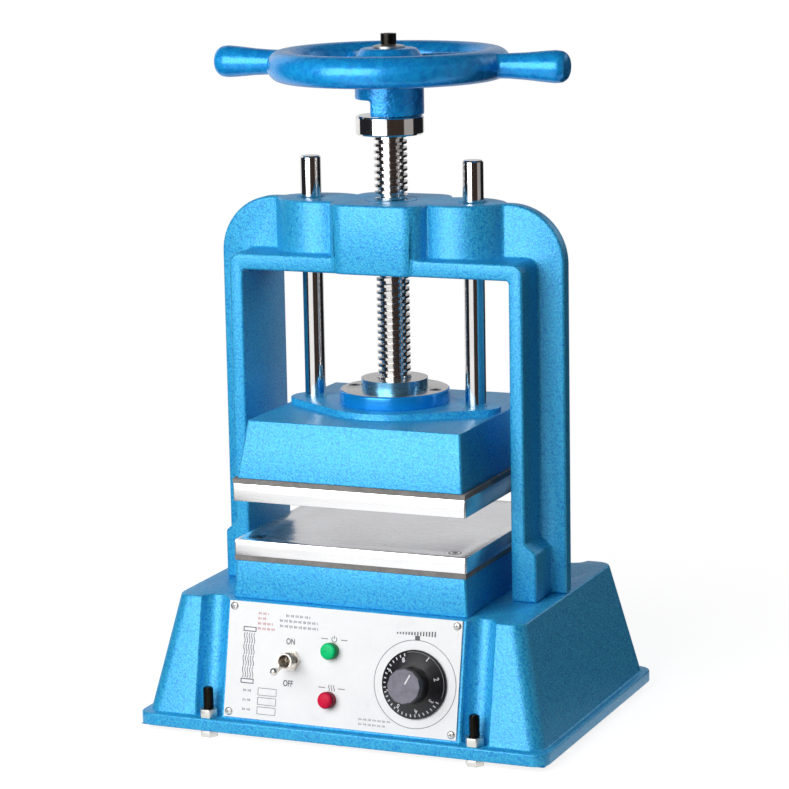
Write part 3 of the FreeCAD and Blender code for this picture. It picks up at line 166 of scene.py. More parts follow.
# A machined top on an enamelled disc, or on a steel ring whose side is tinted blue as a painted
# reflection of the flange: the upward face is turned bare, its side keeps its colour.
def makeFacedFlange(name, paint, bare):
    material = newMaterial(name)
    place = addNode(material, "TexCoord").outputs["Object"]
    normal = addNode(material, "NewGeometry").outputs["Normal"]
    upward = addNode(material, "SeparateXYZ", {"Vector": normal}).outputs["Z"]
    facing = addNode(material, "MapRange", {"Value": upward, "From Min": 0.9, "From Max": 0.95})
    rings = addNode(material, "TexWave", {"Vector": place, "Scale": 1 / (bare["ringMm"] * 20 * mm),
                                          "Distortion": 0.4}, wave_type="RINGS", rings_direction="Z")
    cells = addNode(material, "TexNoise", {"Vector": place, "Scale": 1 / (paint["grainMm"] * mm),
                                           "Detail": 2.0})
    tone = addNode(material, "Mix", {0: cells.outputs["Fac"], 6: linearColour(paint["deep"]),
                                     7: linearColour(paint["middle"])}, data_type="RGBA").outputs[2]
    skin = addNode(material, "Mix", {0: facing.outputs["Result"], 6: tone,
                                     7: linearColour(bare["light"])}, data_type="RGBA").outputs[2]
    gloss = addNode(material, "MapRange", {"Value": rings.outputs["Fac"],
                                           "To Min": bare["roughness"] - 0.04,
                                           "To Max": bare["roughness"] + 0.04})
    bump = addNode(material, "Bump", {"Height": cells.outputs["Fac"], "Strength": 0.4,
                                      "Distance": paint["bumpMm"] * mm})
    metal = addNode(material, "MapRange", {"Value": facing.outputs["Result"], "To Min": paint["sheen"],
                                           "To Max": 1.0})
    shader = addNode(material, "BsdfPrincipled", {
        "Base Color": skin, "Metallic": metal.outputs["Result"], "Roughness": gloss.outputs["Result"],
        "Normal": bump.outputs["Normal"]})
    return finishMaterial(material, shader)


castBlue = {"deep": "#108CDA", "middle": "#1EA8E6", "pale": "#4CD0F0", "grainMm": 1.3, "mottleMm": 2.4,
            "wobble": 0.0006, "islands": 0.7, "bumpMm": 0.09, "roughness": 0.45, "coat": 0.15,
            "flake": 0.22, "gloss": 0.45}
# The wheel is smooth where hands hold it, and pebbled on the hub and its dog, below the level given
wheelBlue = {"deep": "#0C92EC", "middle": "#12AAFA", "pale": "#3CC0FA", "grainMm": 2.0, "mottleMm": 6.0,
             "wobble": 0.0010, "islands": 0.3, "bumpMm": 0.16, "roughness": 0.27, "coat": 0.10,
             "flake": 0.22, "gloss": 0.35, "coarseBelow": 0.4865, "fineBump": 0.2}
groundSteel = {"dark": "#DAD8D6", "light": "#F2F1F0", "lineMm": 0.4, "cloudMm": 20.0, "stretch": (1, 1, 12),
               "roughness": 0.08, "bumpMm": 0.002}
threadSteel = {"dark": "#CBC8C5", "light": "#F0EEEC", "lineMm": 0.5, "cloudMm": 3.0, "stretch": (1, 1, 3),
               "roughness": 0.13, "bumpMm": 0.003}
milledAluminium = {"dark": "#E8E8E9", "light": "#F8F8F9", "lineMm": 0.6, "cloudMm": 45.0,
                   "stretch": (0.05, 1, 1), "roughness": 0.24, "bumpMm": 0.002}
facedSteel = {"light": "#C9C7C4", "ringMm": 0.6, "roughness": 0.24}
flangeBlue = {"deep": "#0A86DC", "middle": "#16A4F0", "grainMm": 2.0, "bumpMm": 0.03, "sheen": 0.35}
# The retainer's side is tinted blue as a painted reflection of the blue flange
retainerReflectedBlue = {"deep": "#4F9CCB", "middle": "#8CC4E2", "grainMm": 4.0, "bumpMm": 0.004, "sheen": 0.85}
brightZinc = {"dark": "#C6C5C0", "light": "#E6E5E0", "lineMm": 0.4, "cloudMm": 1.5, "stretch": (1, 1, 1),
              "roughness": 0.36, "bumpMm": 0.01}
blackOxide = {"dark": "#1A1815", "light": "#34302B", "lineMm": 0.4, "cloudMm": 1.2, "stretch": (1, 1, 2),
              "roughness": 0.34, "bumpMm": 0.008}
nickel = {"dark": "#CFC8BF", "light": "#EDE8E1", "lineMm": 0.4, "cloudMm": 1.5, "stretch": (1, 1, 1),
          "roughness": 0.26, "bumpMm": 0.004}
bronze = {"dark": "#8E6A35", "light": "#B88E4E", "lineMm": 0.5, "cloudMm": 4.0, "stretch": (1, 1, 3),
          "roughness": 0.3, "bumpMm": 0.004}
heaterSteel = {"dark": "#7E7A70", "light": "#A39E90", "lineMm": 0.8, "cloudMm": 12.0, "stretch": (1, 1, 1),
               "roughness": 0.45, "bumpMm": 0.01}
fibreBoard = {"dark": "#7A7875", "light": "#989693", "grainMm": 0.8, "roughness": 0.85, "bumpMm": 0.08}
mineralWool = {"dark": "#CFC9BA", "light": "#E6E2D6", "grainMm": 0.7, "roughness": 0.95, "bumpMm": 0.3}
coverSheet = {"dark": "#5E5F62", "light": "#7A7B7E", "grainMm": 2.0, "roughness": 0.45, "bumpMm": 0.01}
whiteEnamel = {"dark": "#F6F7F9", "light": "#FBFCFD", "grainMm": 1.5, "roughness": 0.32, "bumpMm": 0.006,
               "coat": 0.3}
blackMoulded = {"dark": "#0E0D12", "light": "#19181E", "grainMm": 0.5, "roughness": 0.34, "bumpMm": 0.01}
greyMoulded = {"dark": "#6A6876", "light": "#82808E", "grainMm": 0.5, "roughness": 0.42, "bumpMm": 0.01}
creamMoulded = {"dark": "#CFC9AC", "light": "#DDD8BE", "grainMm": 0.6, "roughness": 0.5, "bumpMm": 0.01}
greenClear = {"dark": "#00C470", "light": "#0AE890", "grainMm": 1.2, "roughness": 0.3, "bumpMm": 0.01,
              "gloss": 0.15}
redClear = {"dark": "#C00838", "light": "#E41844", "grainMm": 1.2, "roughness": 0.3, "bumpMm": 0.01,
            "gloss": 0.15}
# Darker copies of the lens colours for the caps' sides, as painted shade
greenShadedSide = {**greenClear, "dark": "#007C48", "light": "#009A58"}
redShadedSide = {**redClear, "dark": "#780428", "light": "#9C0830"}
navyInk = {"dark": "#3A4058", "light": "#565C74", "grainMm": 0.4, "roughness": 0.5, "bumpMm": 0.002}
blackInk = {"dark": "#4C4C54", "light": "#66666E", "grainMm": 0.4, "roughness": 0.5, "bumpMm": 0.002}
redInk = {"dark": "#B4404C", "light": "#CF5F69", "grainMm": 0.4, "roughness": 0.5, "bumpMm": 0.002}
whiteInk = {"dark": "#D8D8DE", "light": "#F0F0F4", "grainMm": 0.4, "roughness": 0.5, "bumpMm": 0.002}
greyInk = {"dark": "#85878E", "light": "#A0A2AA", "grainMm": 0.4, "roughness": 0.5, "bumpMm": 0.002}

finishes = {
    "hammertone_blue": makeHammeredEnamel("hammered_blue_enamel", castBlue),
    "wheel_blue": makeHammeredEnamel("gloss_blue_enamel", wheelBlue),
    "ground_steel": makeTurnedSteel("ground_steel", groundSteel),
    "thread_steel": makeTurnedSteel("rolled_thread_steel", threadSteel),
    "platen_aluminium": makeTurnedSteel("milled_aluminium", milledAluminium),
    "insulation": makeMoulded("fibre_board", fibreBoard),
    "wool": makeMoulded("mineral_wool", mineralWool),
    "heater_foil": makeTurnedSteel("heater_steel", heaterSteel),
    "bronze": makeTurnedSteel("turned_bronze", bronze),
    "black_oxide": makeTurnedSteel("black_oxide_steel", blackOxide),
    "bright_zinc": makeTurnedSteel("bright_zinc_steel", brightZinc),
    "panel_white": makeMoulded("printed_white_enamel", whiteEnamel),
    "green_lens": makeMoulded("clear_green_lens", greenClear),
    "red_lens": makeMoulded("clear_red_lens", redClear),
    "black_plastic": makeMoulded("black_moulded_plastic", blackMoulded),
    "knob_grey": makeMoulded("grey_moulded_plastic", greyMoulded),
    "switch_nickel": makeTurnedSteel("nickel_plate", nickel),
    "cover_steel": makeMoulded("plated_sheet", coverSheet),
    "terminal_cream": makeMoulded("cream_moulded_plastic", creamMoulded),
}
flangeFinish = makeFacedFlange("faced_blue_flange", flangeBlue, facedSteel)
lensShadedSides = {"green": makeMoulded("green_lens_painted_shade", greenShadedSide),
             "red": makeMoulded("red_lens_painted_shade", redShadedSide)}
retainerReflectionFinish = makeFacedFlange("faced_ring_painted_blue_reflection", retainerReflectedBlue, facedSteel)
inks = {"navy": makeMoulded("navy_print", navyInk), "black": makeMoulded("black_print", blackInk),
        "red": makeMoulded("red_print", redInk), "white": makeMoulded("white_print", whiteInk),
        "grey": makeMoulded("grey_print", greyInk)}
# Pressed in before the frame was sprayed, so their ends are blue
paintedOver = ("screw_nut", "guide_bushes")
for entry in frame["record"]["subparts"]:
    slots = nodes[entry["node"]].data.materials
    slots.clear()
    painted = entry["node"] in paintedOver
    slots.append(finishes["hammertone_blue" if painted else entry["material_slot"]])
# The retainer's side takes its blue as a painted reflection of the flange
nodes["thrust_retainer"].data.materials[0] = retainerReflectionFinish
print("finishes made:", len(finishes) + len(inks) + len(lensShadedSides) + 2)


# Shared steps for new pieces

def finishPiece(name, shell, body, slot, material=None, smoothDegrees=35):
    mesh = bpy.data.meshes.new(name)
    shell.to_mesh(mesh)
    shell.free()
    mesh.shade_smooth()
    mesh.set_sharp_from_angle(angle=math.radians(smoothDegrees))
    mesh.materials.append(material or finishes[slot])
    piece = bpy.data.objects.new(name, mesh)
    bpy.context.scene.collection.objects.link(piece)
    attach(piece, body)
    return piece


def spinProfile(shell, points, steps, closed=True, start=0.0, sweep=360.0):
    corners = [shell.verts.new((radius * mm, 0, level * mm)) for radius, level in points]
    pairs = list(zip(corners, corners[1:] + corners[:1])) if closed else list(zip(corners, corners[1:]))
    lines = [shell.edges.new(pair) for pair in pairs]
    turn = Matrix.Rotation(math.radians(start), 3, "Z")
    bmesh.ops.rotate(shell, verts=corners, cent=(0, 0, 0), matrix=turn)
    whole = sweep >= 360
    outcome = bmesh.ops.spin(shell, geom=corners + lines, cent=(0, 0, 0), axis=(0, 0, 1), dvec=(0, 0, 0),
                             angle=math.radians(sweep), steps=steps, use_merge=whole)
    if not whole:
        shell.faces.new(corners)
        shell.faces.new([item for item in outcome["geom_last"] if isinstance(item, bmesh.types.BMVert)])
    bmesh.ops.remove_doubles(shell, verts=shell.verts, dist=1e-6)
    return shell


def faceOutwards(shell):
    bmesh.ops.recalc_face_normals(shell, faces=shell.faces)


def pourInto(shell, part):
    mesh = bpy.data.meshes.new("part")
    part.to_mesh(mesh)
    part.free()
    shell.from_mesh(mesh)
    bpy.data.meshes.remove(mesh)


def addThread(shell, radius, pitch, depth, bottom, top, steps, across=0.0, along=0.0):
    # A flank profile as tall as the rod is swept once round while it climbs by one pitch
    rod = bmesh.new()
    crest = 0.37 * pitch
    flank = 0.13 * pitch
    turns = math.ceil((top - bottom) / pitch) + 1
    points = []
    for turn in range(turns):
        level = bottom + (turn - 1) * pitch
        points += [(radius, level), (radius, level + crest), (radius - depth, level + crest + flank),
                   (radius - depth, level + 2 * crest + flank)]
    points.append((radius, bottom + (turns - 1) * pitch))
    corners = [rod.verts.new((across * mm + out * mm, along * mm, level * mm)) for out, level in points]
    lines = [rod.edges.new(pair) for pair in zip(corners, corners[1:])]
    bmesh.ops.spin(rod, geom=corners + lines, cent=(across * mm, along * mm, 0), axis=(0, 0, 1),
                   dvec=(0, 0, pitch * mm / steps), angle=math.tau, steps=steps, use_merge=False)
    bmesh.ops.remove_doubles(rod, verts=rod.verts, dist=1e-6)
    for level, way in ((bottom, -1), (top, 1)):
        geometry = rod.verts[:] + rod.edges[:] + rod.faces[:]
        bmesh.ops.bisect_plane(rod, geom=geometry, plane_co=(0, 0, level * mm), plane_no=(0, 0, way),
                               clear_outer=True)
        rim = [edge for edge in rod.edges if edge.is_boundary
               and all(abs(corner.co.z - level * mm) < 1e-6 for corner in edge.verts)]
        bmesh.ops.edgeloop_fill(rod, edges=rim)
    faceOutwards(rod)
    pourInto(shell, rod)


def addRod(shell, points, steps=48, across=0.0, along=0.0):
    # A turned shape from its half section, closed on its axis
    part = bmesh.new()
    spinProfile(part, points, steps, closed=False)
    bmesh.ops.translate(part, verts=part.verts, vec=(across * mm, along * mm, 0))
    faceOutwards(part)
    pourInto(shell, part)


def roundedCopy(node, name, edgeMm, segments=2, minDegrees=25, material=None):
    # The same solid with its cast or milled edges softened, as files and paint leave them
    shell = bmesh.new()
    shell.from_mesh(nodes[node].data)
    bmesh.ops.remove_doubles(shell, verts=shell.verts, dist=2e-6)
    bmesh.ops.dissolve_limit(shell, angle_limit=math.radians(0.4), verts=shell.verts, edges=shell.edges)
    limit = math.radians(minDegrees)
    sharp = [edge for edge in shell.edges if edge.is_manifold and edge.calc_face_angle(0) > limit]
    bmesh.ops.bevel(shell, geom=sharp, offset=edgeMm * mm, offset_type="OFFSET", segments=segments,
                    profile=0.5, affect="EDGES", clamp_overlap=False, material=-1, loop_slide=False)
    entry = next(part for part in frame["record"]["subparts"] if part["node"] == node)
    body = next(name for name, members in frame["record"]["behaviour"]["bodies"].items() if node in members)
    piece = finishPiece(name, shell, body, entry["material_slot"], material)
    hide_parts(node)
    return piece


# Castings, with the radii that the pattern and the paint leave on their edges

castEdges = {"base_housing": 1.4, "press_frame": 2.0, "lower_bolster": 1.0, "upper_bolster": 0.5}
for node, edgeMm in castEdges.items():
    roundedCopy(node, node + "_casting", edgeMm, segments=3)
roundedCopy("thrust_flange", "thrust_flange_turned", 0.5, material=flangeFinish)
roundedCopy("lower_platen", "lower_platen_milled", 0.4)
roundedCopy("upper_platen", "upper_platen_milled", 0.4)
print("castings and platens rounded")


# Lead screw

leadScrew = {"radius": 12.7, "pitch": 5.08, "depth": 2.5, "threadBottom": 243.0, "threadTop": 447.2,
             "footRadius": 18.0, "footBottom": 236.0, "journalRadius": 9.5, "journalTop": 511.9,
             "overlap": 1.0, "steps": 48}


def makeLeadScrew(look):
    shell = bmesh.new()
    bottom, top, overlap = look["threadBottom"], look["threadTop"], look["overlap"]
    foot, journal = look["footRadius"], look["journalRadius"]
    addThread(shell, look["radius"], look["pitch"], look["depth"], bottom - overlap, top, look["steps"])
    addRod(shell, [(0, look["footBottom"]), (foot, look["footBottom"]), (foot, bottom), (0, bottom)])
    addRod(shell, [(0, top - overlap), (journal, top - overlap), (journal, look["journalTop"]),
                   (0, look["journalTop"])])
    piece = finishPiece("lead_screw_thread", shell, "screw", "thread_steel")
    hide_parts("lead_screw")


makeLeadScrew(leadScrew)
print("lead screw cut")


# Handwheel

handwheel = {"rimRadius": 80.0, "tube": 23.4, "level": 499.6, "hubBottom": 473.9, "hubTop": 511.8,
             "hubRadius": 26.0, "crownRadius": 28.2, "topRadius": 20.5, "boreRadius": 10.2,
             "dogBottom": 461.9, "dogStart": -102.0, "dogSweep": 162.0, "spokes": 4, "spokeWidth": 12.0,
             "spokeStart": 20.0, "spokeTaper": 1.15, "reach": 142.4, "neckRadius": 9.4,
             "endRadius": 12.2, "voxelMm": 1.0, "softening": 6}


def makeHandwheel(look):
    shell = bmesh.new()
    tube = look["tube"] / 2
    rim, level = look["rimRadius"], look["level"]
    turns = [math.radians(turn) for turn in range(0, 360, 12)]
    section = [(rim + tube * math.cos(turn), level + tube * math.sin(turn)) for turn in turns]
    spinProfile(shell, section, 120)
    # The hub widens upwards to a rounded crown, and the dog hangs below half of it
    bore, hub, crown, face = look["boreRadius"], look["hubRadius"], look["crownRadius"], look["topRadius"]
    bottom, top, dog = look["hubBottom"], look["hubTop"], look["dogBottom"]
    spinProfile(shell, [(bore, bottom), (hub, bottom), (hub, bottom + 16), (crown, top - 11),
                        (crown - 2, top - 8), (face + 1, top - 1), (face - 1, top), (bore, top)], 72)
    spinProfile(shell, [(bore, dog), (hub, dog), (hub, bottom + 2), (bore, bottom + 2)], 36,
                start=look["dogStart"], sweep=look["dogSweep"])
    inner = look["spokeStart"]
    for number in range(look["spokes"]):
        turn = math.radians(45 + 360 * number / look["spokes"])
        spoke = bmesh.ops.create_cone(shell, cap_ends=True, segments=24,
                                      radius1=look["spokeWidth"] / 2 * mm * look["spokeTaper"],
                                      radius2=look["spokeWidth"] / 2 * mm, depth=(rim - inner) * mm)
        outward = Vector((math.cos(turn), math.sin(turn), 0))
        middle = outward * ((rim + inner) / 2 * mm) + Vector((0, 0, level * mm))
        aim = outward.to_track_quat("Z", "Y").to_matrix()
        bmesh.ops.rotate(shell, verts=spoke["verts"], cent=(0, 0, 0), matrix=aim)
        bmesh.ops.translate(shell, verts=spoke["verts"], vec=middle)
    neck, end, reach = look["neckRadius"], look["endRadius"], look["reach"]
    for side in (-1, 1):
        grip = bmesh.new()
        # The grip swells from its neck to a rounded end
        spinProfile(grip, [(0, rim), (neck, rim), (neck, 96), (neck + 0.8, 110), (end - 0.5, 126),
                           (end, 133), (end - 0.6, 138), (end - 2.8, 141.2), (end - 5.5, reach),
                           (0, reach)], 48, closed=False)
        turn = Matrix.Rotation(math.radians(90 * side), 3, "Y")
        bmesh.ops.rotate(grip, verts=grip.verts, cent=(0, 0, 0), matrix=turn)
        bmesh.ops.translate(grip, verts=grip.verts, vec=(0, 0, level * mm))
        pourInto(shell, grip)
    faceOutwards(shell)
    piece = finishPiece("handwheel_casting", shell, "wheel", "wheel_blue")
    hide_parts("handwheel")
    blend = piece.modifiers.new("blend", "REMESH")
    blend.mode = "VOXEL"
    blend.voxel_size = look["voxelMm"] * mm
    blend.use_smooth_shade = True
    soften = piece.modifiers.new("soften", "SMOOTH")
    soften.factor = 0.5
    soften.iterations = look["softening"]


makeHandwheel(handwheel)
print("handwheel cast")


# Mounting bolts with rolled threads on their free ends, and their nuts

mountingBolts = {"radius": 3.97, "pitch": 1.41, "depth": 0.75, "threadBottom": 20.0, "top": 38.3,
                 "headFlats": 12.7, "headHeight": 5.3, "across": 108.0, "along": 116.5}


def makeMountingBolts(look):
    studs = bmesh.new()
    heads = bmesh.new()
    radius, bottom, top, headTop = look["radius"], look["threadBottom"], look["top"], look["headHeight"]
    corner = look["headFlats"] / math.sqrt(3) * mm
    quarter = Matrix.Rotation(math.pi / 2, 3, "Z")
    for side in (-1, 1):
        for end in (-1, 1):
            across, along = look["across"] * side, look["along"] * end
            addRod(studs, [(0, headTop), (radius, headTop), (radius, bottom), (0, bottom)], 24,
                   across, along)
            addThread(studs, radius, look["pitch"], look["depth"], bottom - 0.5, top - 1.0, 20,
                      across, along)
            addRod(studs, [(0, top - 1.2), (radius - 0.5, top - 1.2), (radius - 1.4, top), (0, top)], 24,
                   across, along)
            head = bmesh.ops.create_cone(heads, cap_ends=True, segments=6, depth=headTop * mm,
                                         radius1=corner, radius2=corner)
            bmesh.ops.rotate(heads, verts=head["verts"], cent=(0, 0, 0), matrix=quarter)
            bmesh.ops.translate(heads, verts=head["verts"], vec=(across * mm, along * mm, headTop / 2 * mm))
    bmesh.ops.bevel(heads, geom=heads.edges[:], offset=0.5 * mm, offset_type="OFFSET", segments=2,
                    profile=0.5, affect="EDGES", clamp_overlap=True, material=-1)
    studPiece = finishPiece("mounting_studs", studs, "base", "black_oxide")
    headPiece = finishPiece("mounting_bolt_heads", heads, "base", "bright_zinc")
    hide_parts("mounting_bolts")
    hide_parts("mounting_bolts")


makeMountingBolts(mountingBolts)
roundedCopy("mounting_nuts", "mounting_nuts_chamfered", 0.5)
print("bolts threaded")


# Places on the sloping control panel: across, up the slope, and out from the housing's face

panelSlope = {"footDepth": 118.0, "footLevel": 15.0, "sine": 0.196011, "cosine": 0.980602, "plate": 1.6}
upSlope = Vector((0, panelSlope["sine"], panelSlope["cosine"]))
offSlope = Vector((0, -panelSlope["cosine"], panelSlope["sine"]))
panelPlace = Matrix.Identity(4)
for column, direction in enumerate((Vector((1, 0, 0)), upSlope, offSlope)):
    panelPlace.col[column] = (*direction, 0)
panelPlace.col[3] = (0, -panelSlope["footDepth"] * mm, panelSlope["footLevel"] * mm, 1)


def fromPanel(across, up, out):
    return panelPlace @ Matrix.Translation(Vector((across, up, out)) * mm)


def lettering(words, sizeMm, boldMm, thicknessMm=0.05):
    # Plain words as a thin raised layer of ink, centred on their middle
    curve = bpy.data.curves.new("letters", "FONT")
    curve.body = words
    curve.size = sizeMm * mm
    curve.align_x = "CENTER"
    curve.align_y = "CENTER"
    curve.extrude = thicknessMm / 2 * mm
    curve.offset = boldMm * mm
    holder = bpy.data.objects.new("letters", curve)
    bpy.context.scene.collection.objects.link(holder)
    bpy.context.view_layer.update()
    mesh = bpy.data.meshes.new_from_object(holder.evaluated_get(bpy.context.evaluated_depsgraph_get()))
    bpy.data.objects.remove(holder)
    return mesh


def addLetters(shell, words, sizeMm, place, boldMm=0.12, narrow=0.72):
    mesh = lettering(words, sizeMm, boldMm)
    mesh.transform(place @ Matrix.Diagonal((narrow, 1, 1, 1)))
    shell.from_mesh(mesh)
    bpy.data.meshes.remove(mesh)


def addBar(shell, length, width, place, thickness=0.06):
    bar = bmesh.ops.create_cube(shell, size=1.0)
    bmesh.ops.scale(shell, verts=bar["verts"], vec=(length * mm, width * mm, thickness * mm))
    bmesh.ops.transform(shell, verts=bar["verts"], matrix=place)


def addFrameLines(shell, width, height, line, across, up, out):
    addBar(shell, width, line, fromPanel(across, up + height / 2, out))
    addBar(shell, width, line, fromPanel(across, up - height / 2, out))
    addBar(shell, line, height, fromPanel(across - width / 2, up, out))
    addBar(shell, line, height, fromPanel(across + width / 2, up, out))


def addRing(shell, radius, line, place, steps=72, fromDegrees=0, sweep=360):
    part = bmesh.new()
    spinProfile(part, [(radius - line / 2, 0), (radius + line / 2, 0), (radius + line / 2, 0.06),
                       (radius - line / 2, 0.06)], steps, start=fromDegrees, sweep=sweep)
    faceOutwards(part)
    bmesh.ops.transform(part, verts=part.verts, matrix=place)
    pourInto(shell, part)


def addRuling(shell, left, right, up, height, out):
    # A row of short upright strokes in threes, as on a blank data plate
    stroke = 0.45
    pitch = 0.95
    for number in range(int((right - left) / pitch)):
        if number % 4 < 3:
            tall = height * (0.7 + 0.3 * (number % 3 == 0))
            addBar(shell, stroke, tall, fromPanel(left + number * pitch, up, out))


def addHeatWaves(shell, across, up, width, height, out, waves=3):
    # Upright wavy lines, the plain sign for heat
    steps = 10
    for wave in range(waves):
        middle = across + (wave - (waves - 1) / 2) * width / waves
        for step in range(steps):
            turn = math.tau * (step + 0.5) / steps
            sway = math.sin(turn) * width / waves * 0.22
            lean = Matrix.Rotation(-math.cos(turn) * 0.6, 4, "Z")
            spot = fromPanel(middle + sway, up + height * ((step + 0.5) / steps - 0.5), out)
            addBar(shell, 0.5, height / steps * 1.35, spot @ lean)


panelPrint = {"switchAcross": -42.4, "onUp": 62.8, "offUp": 31.4, "offShift": -0.3, "wordSize": 6.4,
              "lampAcross": -7.0, "powerUp": 67.7, "heatUp": 31.4, "signLine": 0.55, "dialAcross": 59.5,
              "dialUp": 40.5, "circleRadius": 32.5, "line": 0.6, "boxAcross": -59.4, "boxUp": 23.4,
              "boxPitch": 7.1, "boxWidth": 15.0, "boxHeight": 5.4, "boxLine": 0.4, "boxTextLeft": -79.0,
              "boxTextRight": -70.5, "barsUp": 76.4, "bars": 14, "barWidth": 1.1, "barPitch": 2.3,
              "motifAcross": -76.5, "motifWidth": 10.0, "motifLine": 0.7, "plateUps": (29.0, 68.0),
              "plateHeight": 3.0, "wavesUp": 37.0, "wavesPitch": 8.6, "wavesHeight": 8.0, "redLeft": -69.8,
              "redUp": 82.0, "redPitch": 3.8}
# Ruled strokes stand where the photograph's panel has text: up the panel, from left, to right
headingRows = ((82.0, -47.0, -26.5), (78.0, -52.0, -20.0), (74.0, -51.5, -20.0))
footRows = ((10.8, 16.5, 43.0), (7.2, 16.5, 39.0))
redRowEnds = (-60.5, -61.5, -57.0, -54.0)
inkOut = panelSlope["plate"] + 0.04


def printSwitchWords(ink, look):
    addLetters(ink, "ON", look["wordSize"], fromPanel(look["switchAcross"], look["onUp"], inkOut))
    addLetters(ink, "OFF", look["wordSize"],
               fromPanel(look["switchAcross"] + look["offShift"], look["offUp"], inkOut))


def printDialCircle(look):
    grey = bmesh.new()
    place = fromPanel(look["dialAcross"], look["dialUp"], inkOut - 0.03)
    addRing(grey, look["circleRadius"], look["line"], place)
    finishPiece("panel_print_circle", grey, "base", "black_plastic", inks["grey"])


def printDialIndex(ink, look):
    up = look["dialUp"] + look["circleRadius"] + 1.6
    addBar(ink, 3.8, 3.2, fromPanel(look["dialAcross"], up, inkOut))


def printBoxes(ink, look):
    width, height, line = look["boxWidth"], look["boxHeight"], look["boxLine"]
    for row in range(3):
        up = look["boxUp"] - row * look["boxPitch"]
        addFrameLines(ink, width, height, line, look["boxAcross"], up, inkOut)
        addRuling(ink, look["boxTextLeft"], look["boxTextRight"], up, 2.0, inkOut)


def printLampSigns(ink, look):
    # The usual sign for power at the upper lamp, heat waves at the lower, a dash on each side
    across, line = look["lampAcross"], look["signLine"]
    power = fromPanel(across, look["powerUp"], inkOut - 0.03)
    addRing(ink, 2.0, line, power, 36, fromDegrees=125, sweep=290)
    addBar(ink, line, 2.4, fromPanel(across, look["powerUp"] + 1.6, inkOut))
    addHeatWaves(ink, across, look["heatUp"], 6.0, 4.4, inkOut)
    for side in (-1, 1):
        for up in (look["powerUp"], look["heatUp"]):
            addBar(ink, 5.5, line, fromPanel(across + side * 8.0, up, inkOut))


def printRisingBars(ink, look):
    bars = look["bars"]
    for step in range(bars):
        tall = 1.4 + 2.8 * step / bars
        across = look["dialAcross"] + (step - bars / 2) * look["barPitch"]
        addBar(ink, look["barWidth"], tall, fromPanel(across, look["barsUp"] + tall / 2, inkOut))


def printHeatedPlates(ink, look):
    # Heat rising between two press plates fills the tall place at the left
    middle, width, line = look["motifAcross"], look["motifWidth"], look["motifLine"]
    height = look["plateHeight"]
    for up in look["plateUps"]:
        for edge in (0, height):
            addBar(ink, width, line, fromPanel(middle, up + edge, inkOut))
        for end in (-1, 1):
            addBar(ink, line, height + 0.6, fromPanel(middle + end * width / 2, up + height / 2, inkOut))
    for row in range(4):
        up = look["wavesUp"] + row * look["wavesPitch"]
        addHeatWaves(ink, middle, up, width, look["wavesHeight"], inkOut, waves=5)


def makePanelPrint(look):
    black = bmesh.new()
    printSwitchWords(black, look)
    printDialCircle(look)
    printDialIndex(black, look)
    printBoxes(black, look)
    printLampSigns(black, look)
    printRisingBars(black, look)
    for up, left, right in footRows:
        addRuling(black, left, right, up, 1.5, inkOut)
    finishPiece("panel_print_black", black, "base", "black_plastic", inks["black"])
    navy = bmesh.new()
    for up, left, right in headingRows:
        addRuling(navy, left, right, up, 2.2, inkOut)
    printHeatedPlates(navy, look)
    finishPiece("panel_print_navy", navy, "base", "black_plastic", inks["navy"])
    red = bmesh.new()
    for row, right in enumerate(redRowEnds):
        addRuling(red, look["redLeft"], right, look["redUp"] - look["redPitch"] * row, 2.1, inkOut)
    finishPiece("panel_print_red", red, "base", "black_plastic", inks["red"])


makePanelPrint(panelPrint)
print("panel printed")


# Panel screws with their cross recess drawn as grey bars of painted shade, the toggle switch's thread and
# seat, and the platen's screws

panelFasteners = {"radius": 3.0, "dome": 1.5, "crossLength": 3.4, "crossWidth": 0.7, "crossTurn": 0.4,
                  "across": 90.25, "low": 6.4, "high": 85.9}


def makePanelScrews(look):
    heads = bmesh.new()
    recessShades = bmesh.new()
    base = panelSlope["plate"]
    for side in (-1, 1):
        for up in (look["low"], look["high"]):
            place = fromPanel(look["across"] * side, up, base)
            part = bmesh.new()
            radius, dome = look["radius"], look["dome"]
            addRod(part, [(0, 0), (radius, 0), (radius, dome * 0.35), (radius - 0.5, dome * 0.7),
                          (radius - 1.3, dome * 0.93), (0, dome)], 32)
            bmesh.ops.transform(part, verts=part.verts, matrix=place)
            pourInto(heads, part)
            # Two grey bars laid over the dome paint the shade of the cross recess
            for turn in (look["crossTurn"], look["crossTurn"] + math.pi / 2):
                addBar(recessShades, look["crossLength"], look["crossWidth"],
                       place @ Matrix.Translation((0, 0, dome * mm)) @ Matrix.Rotation(turn, 4, "Z"))
    headPiece = finishPiece("panel_screw_heads", heads, "base", "bright_zinc")
    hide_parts("panel_screws")
    # The recess bars take the grey print colour as painted shade
    finishPiece("panel_screw_recess_shades", recessShades, "base", "black_oxide", inks["grey"])


toggle = {"across": -41.5, "up": 49.0, "nutTop": 3.9, "mouth": 13.6, "bushRadius": 5.9, "crest": 6.2,
          "pitch": 1.1, "boreRadius": 4.75, "seatRadius": 2.95, "seatBottom": 2.6, "seatTop": 9.0}


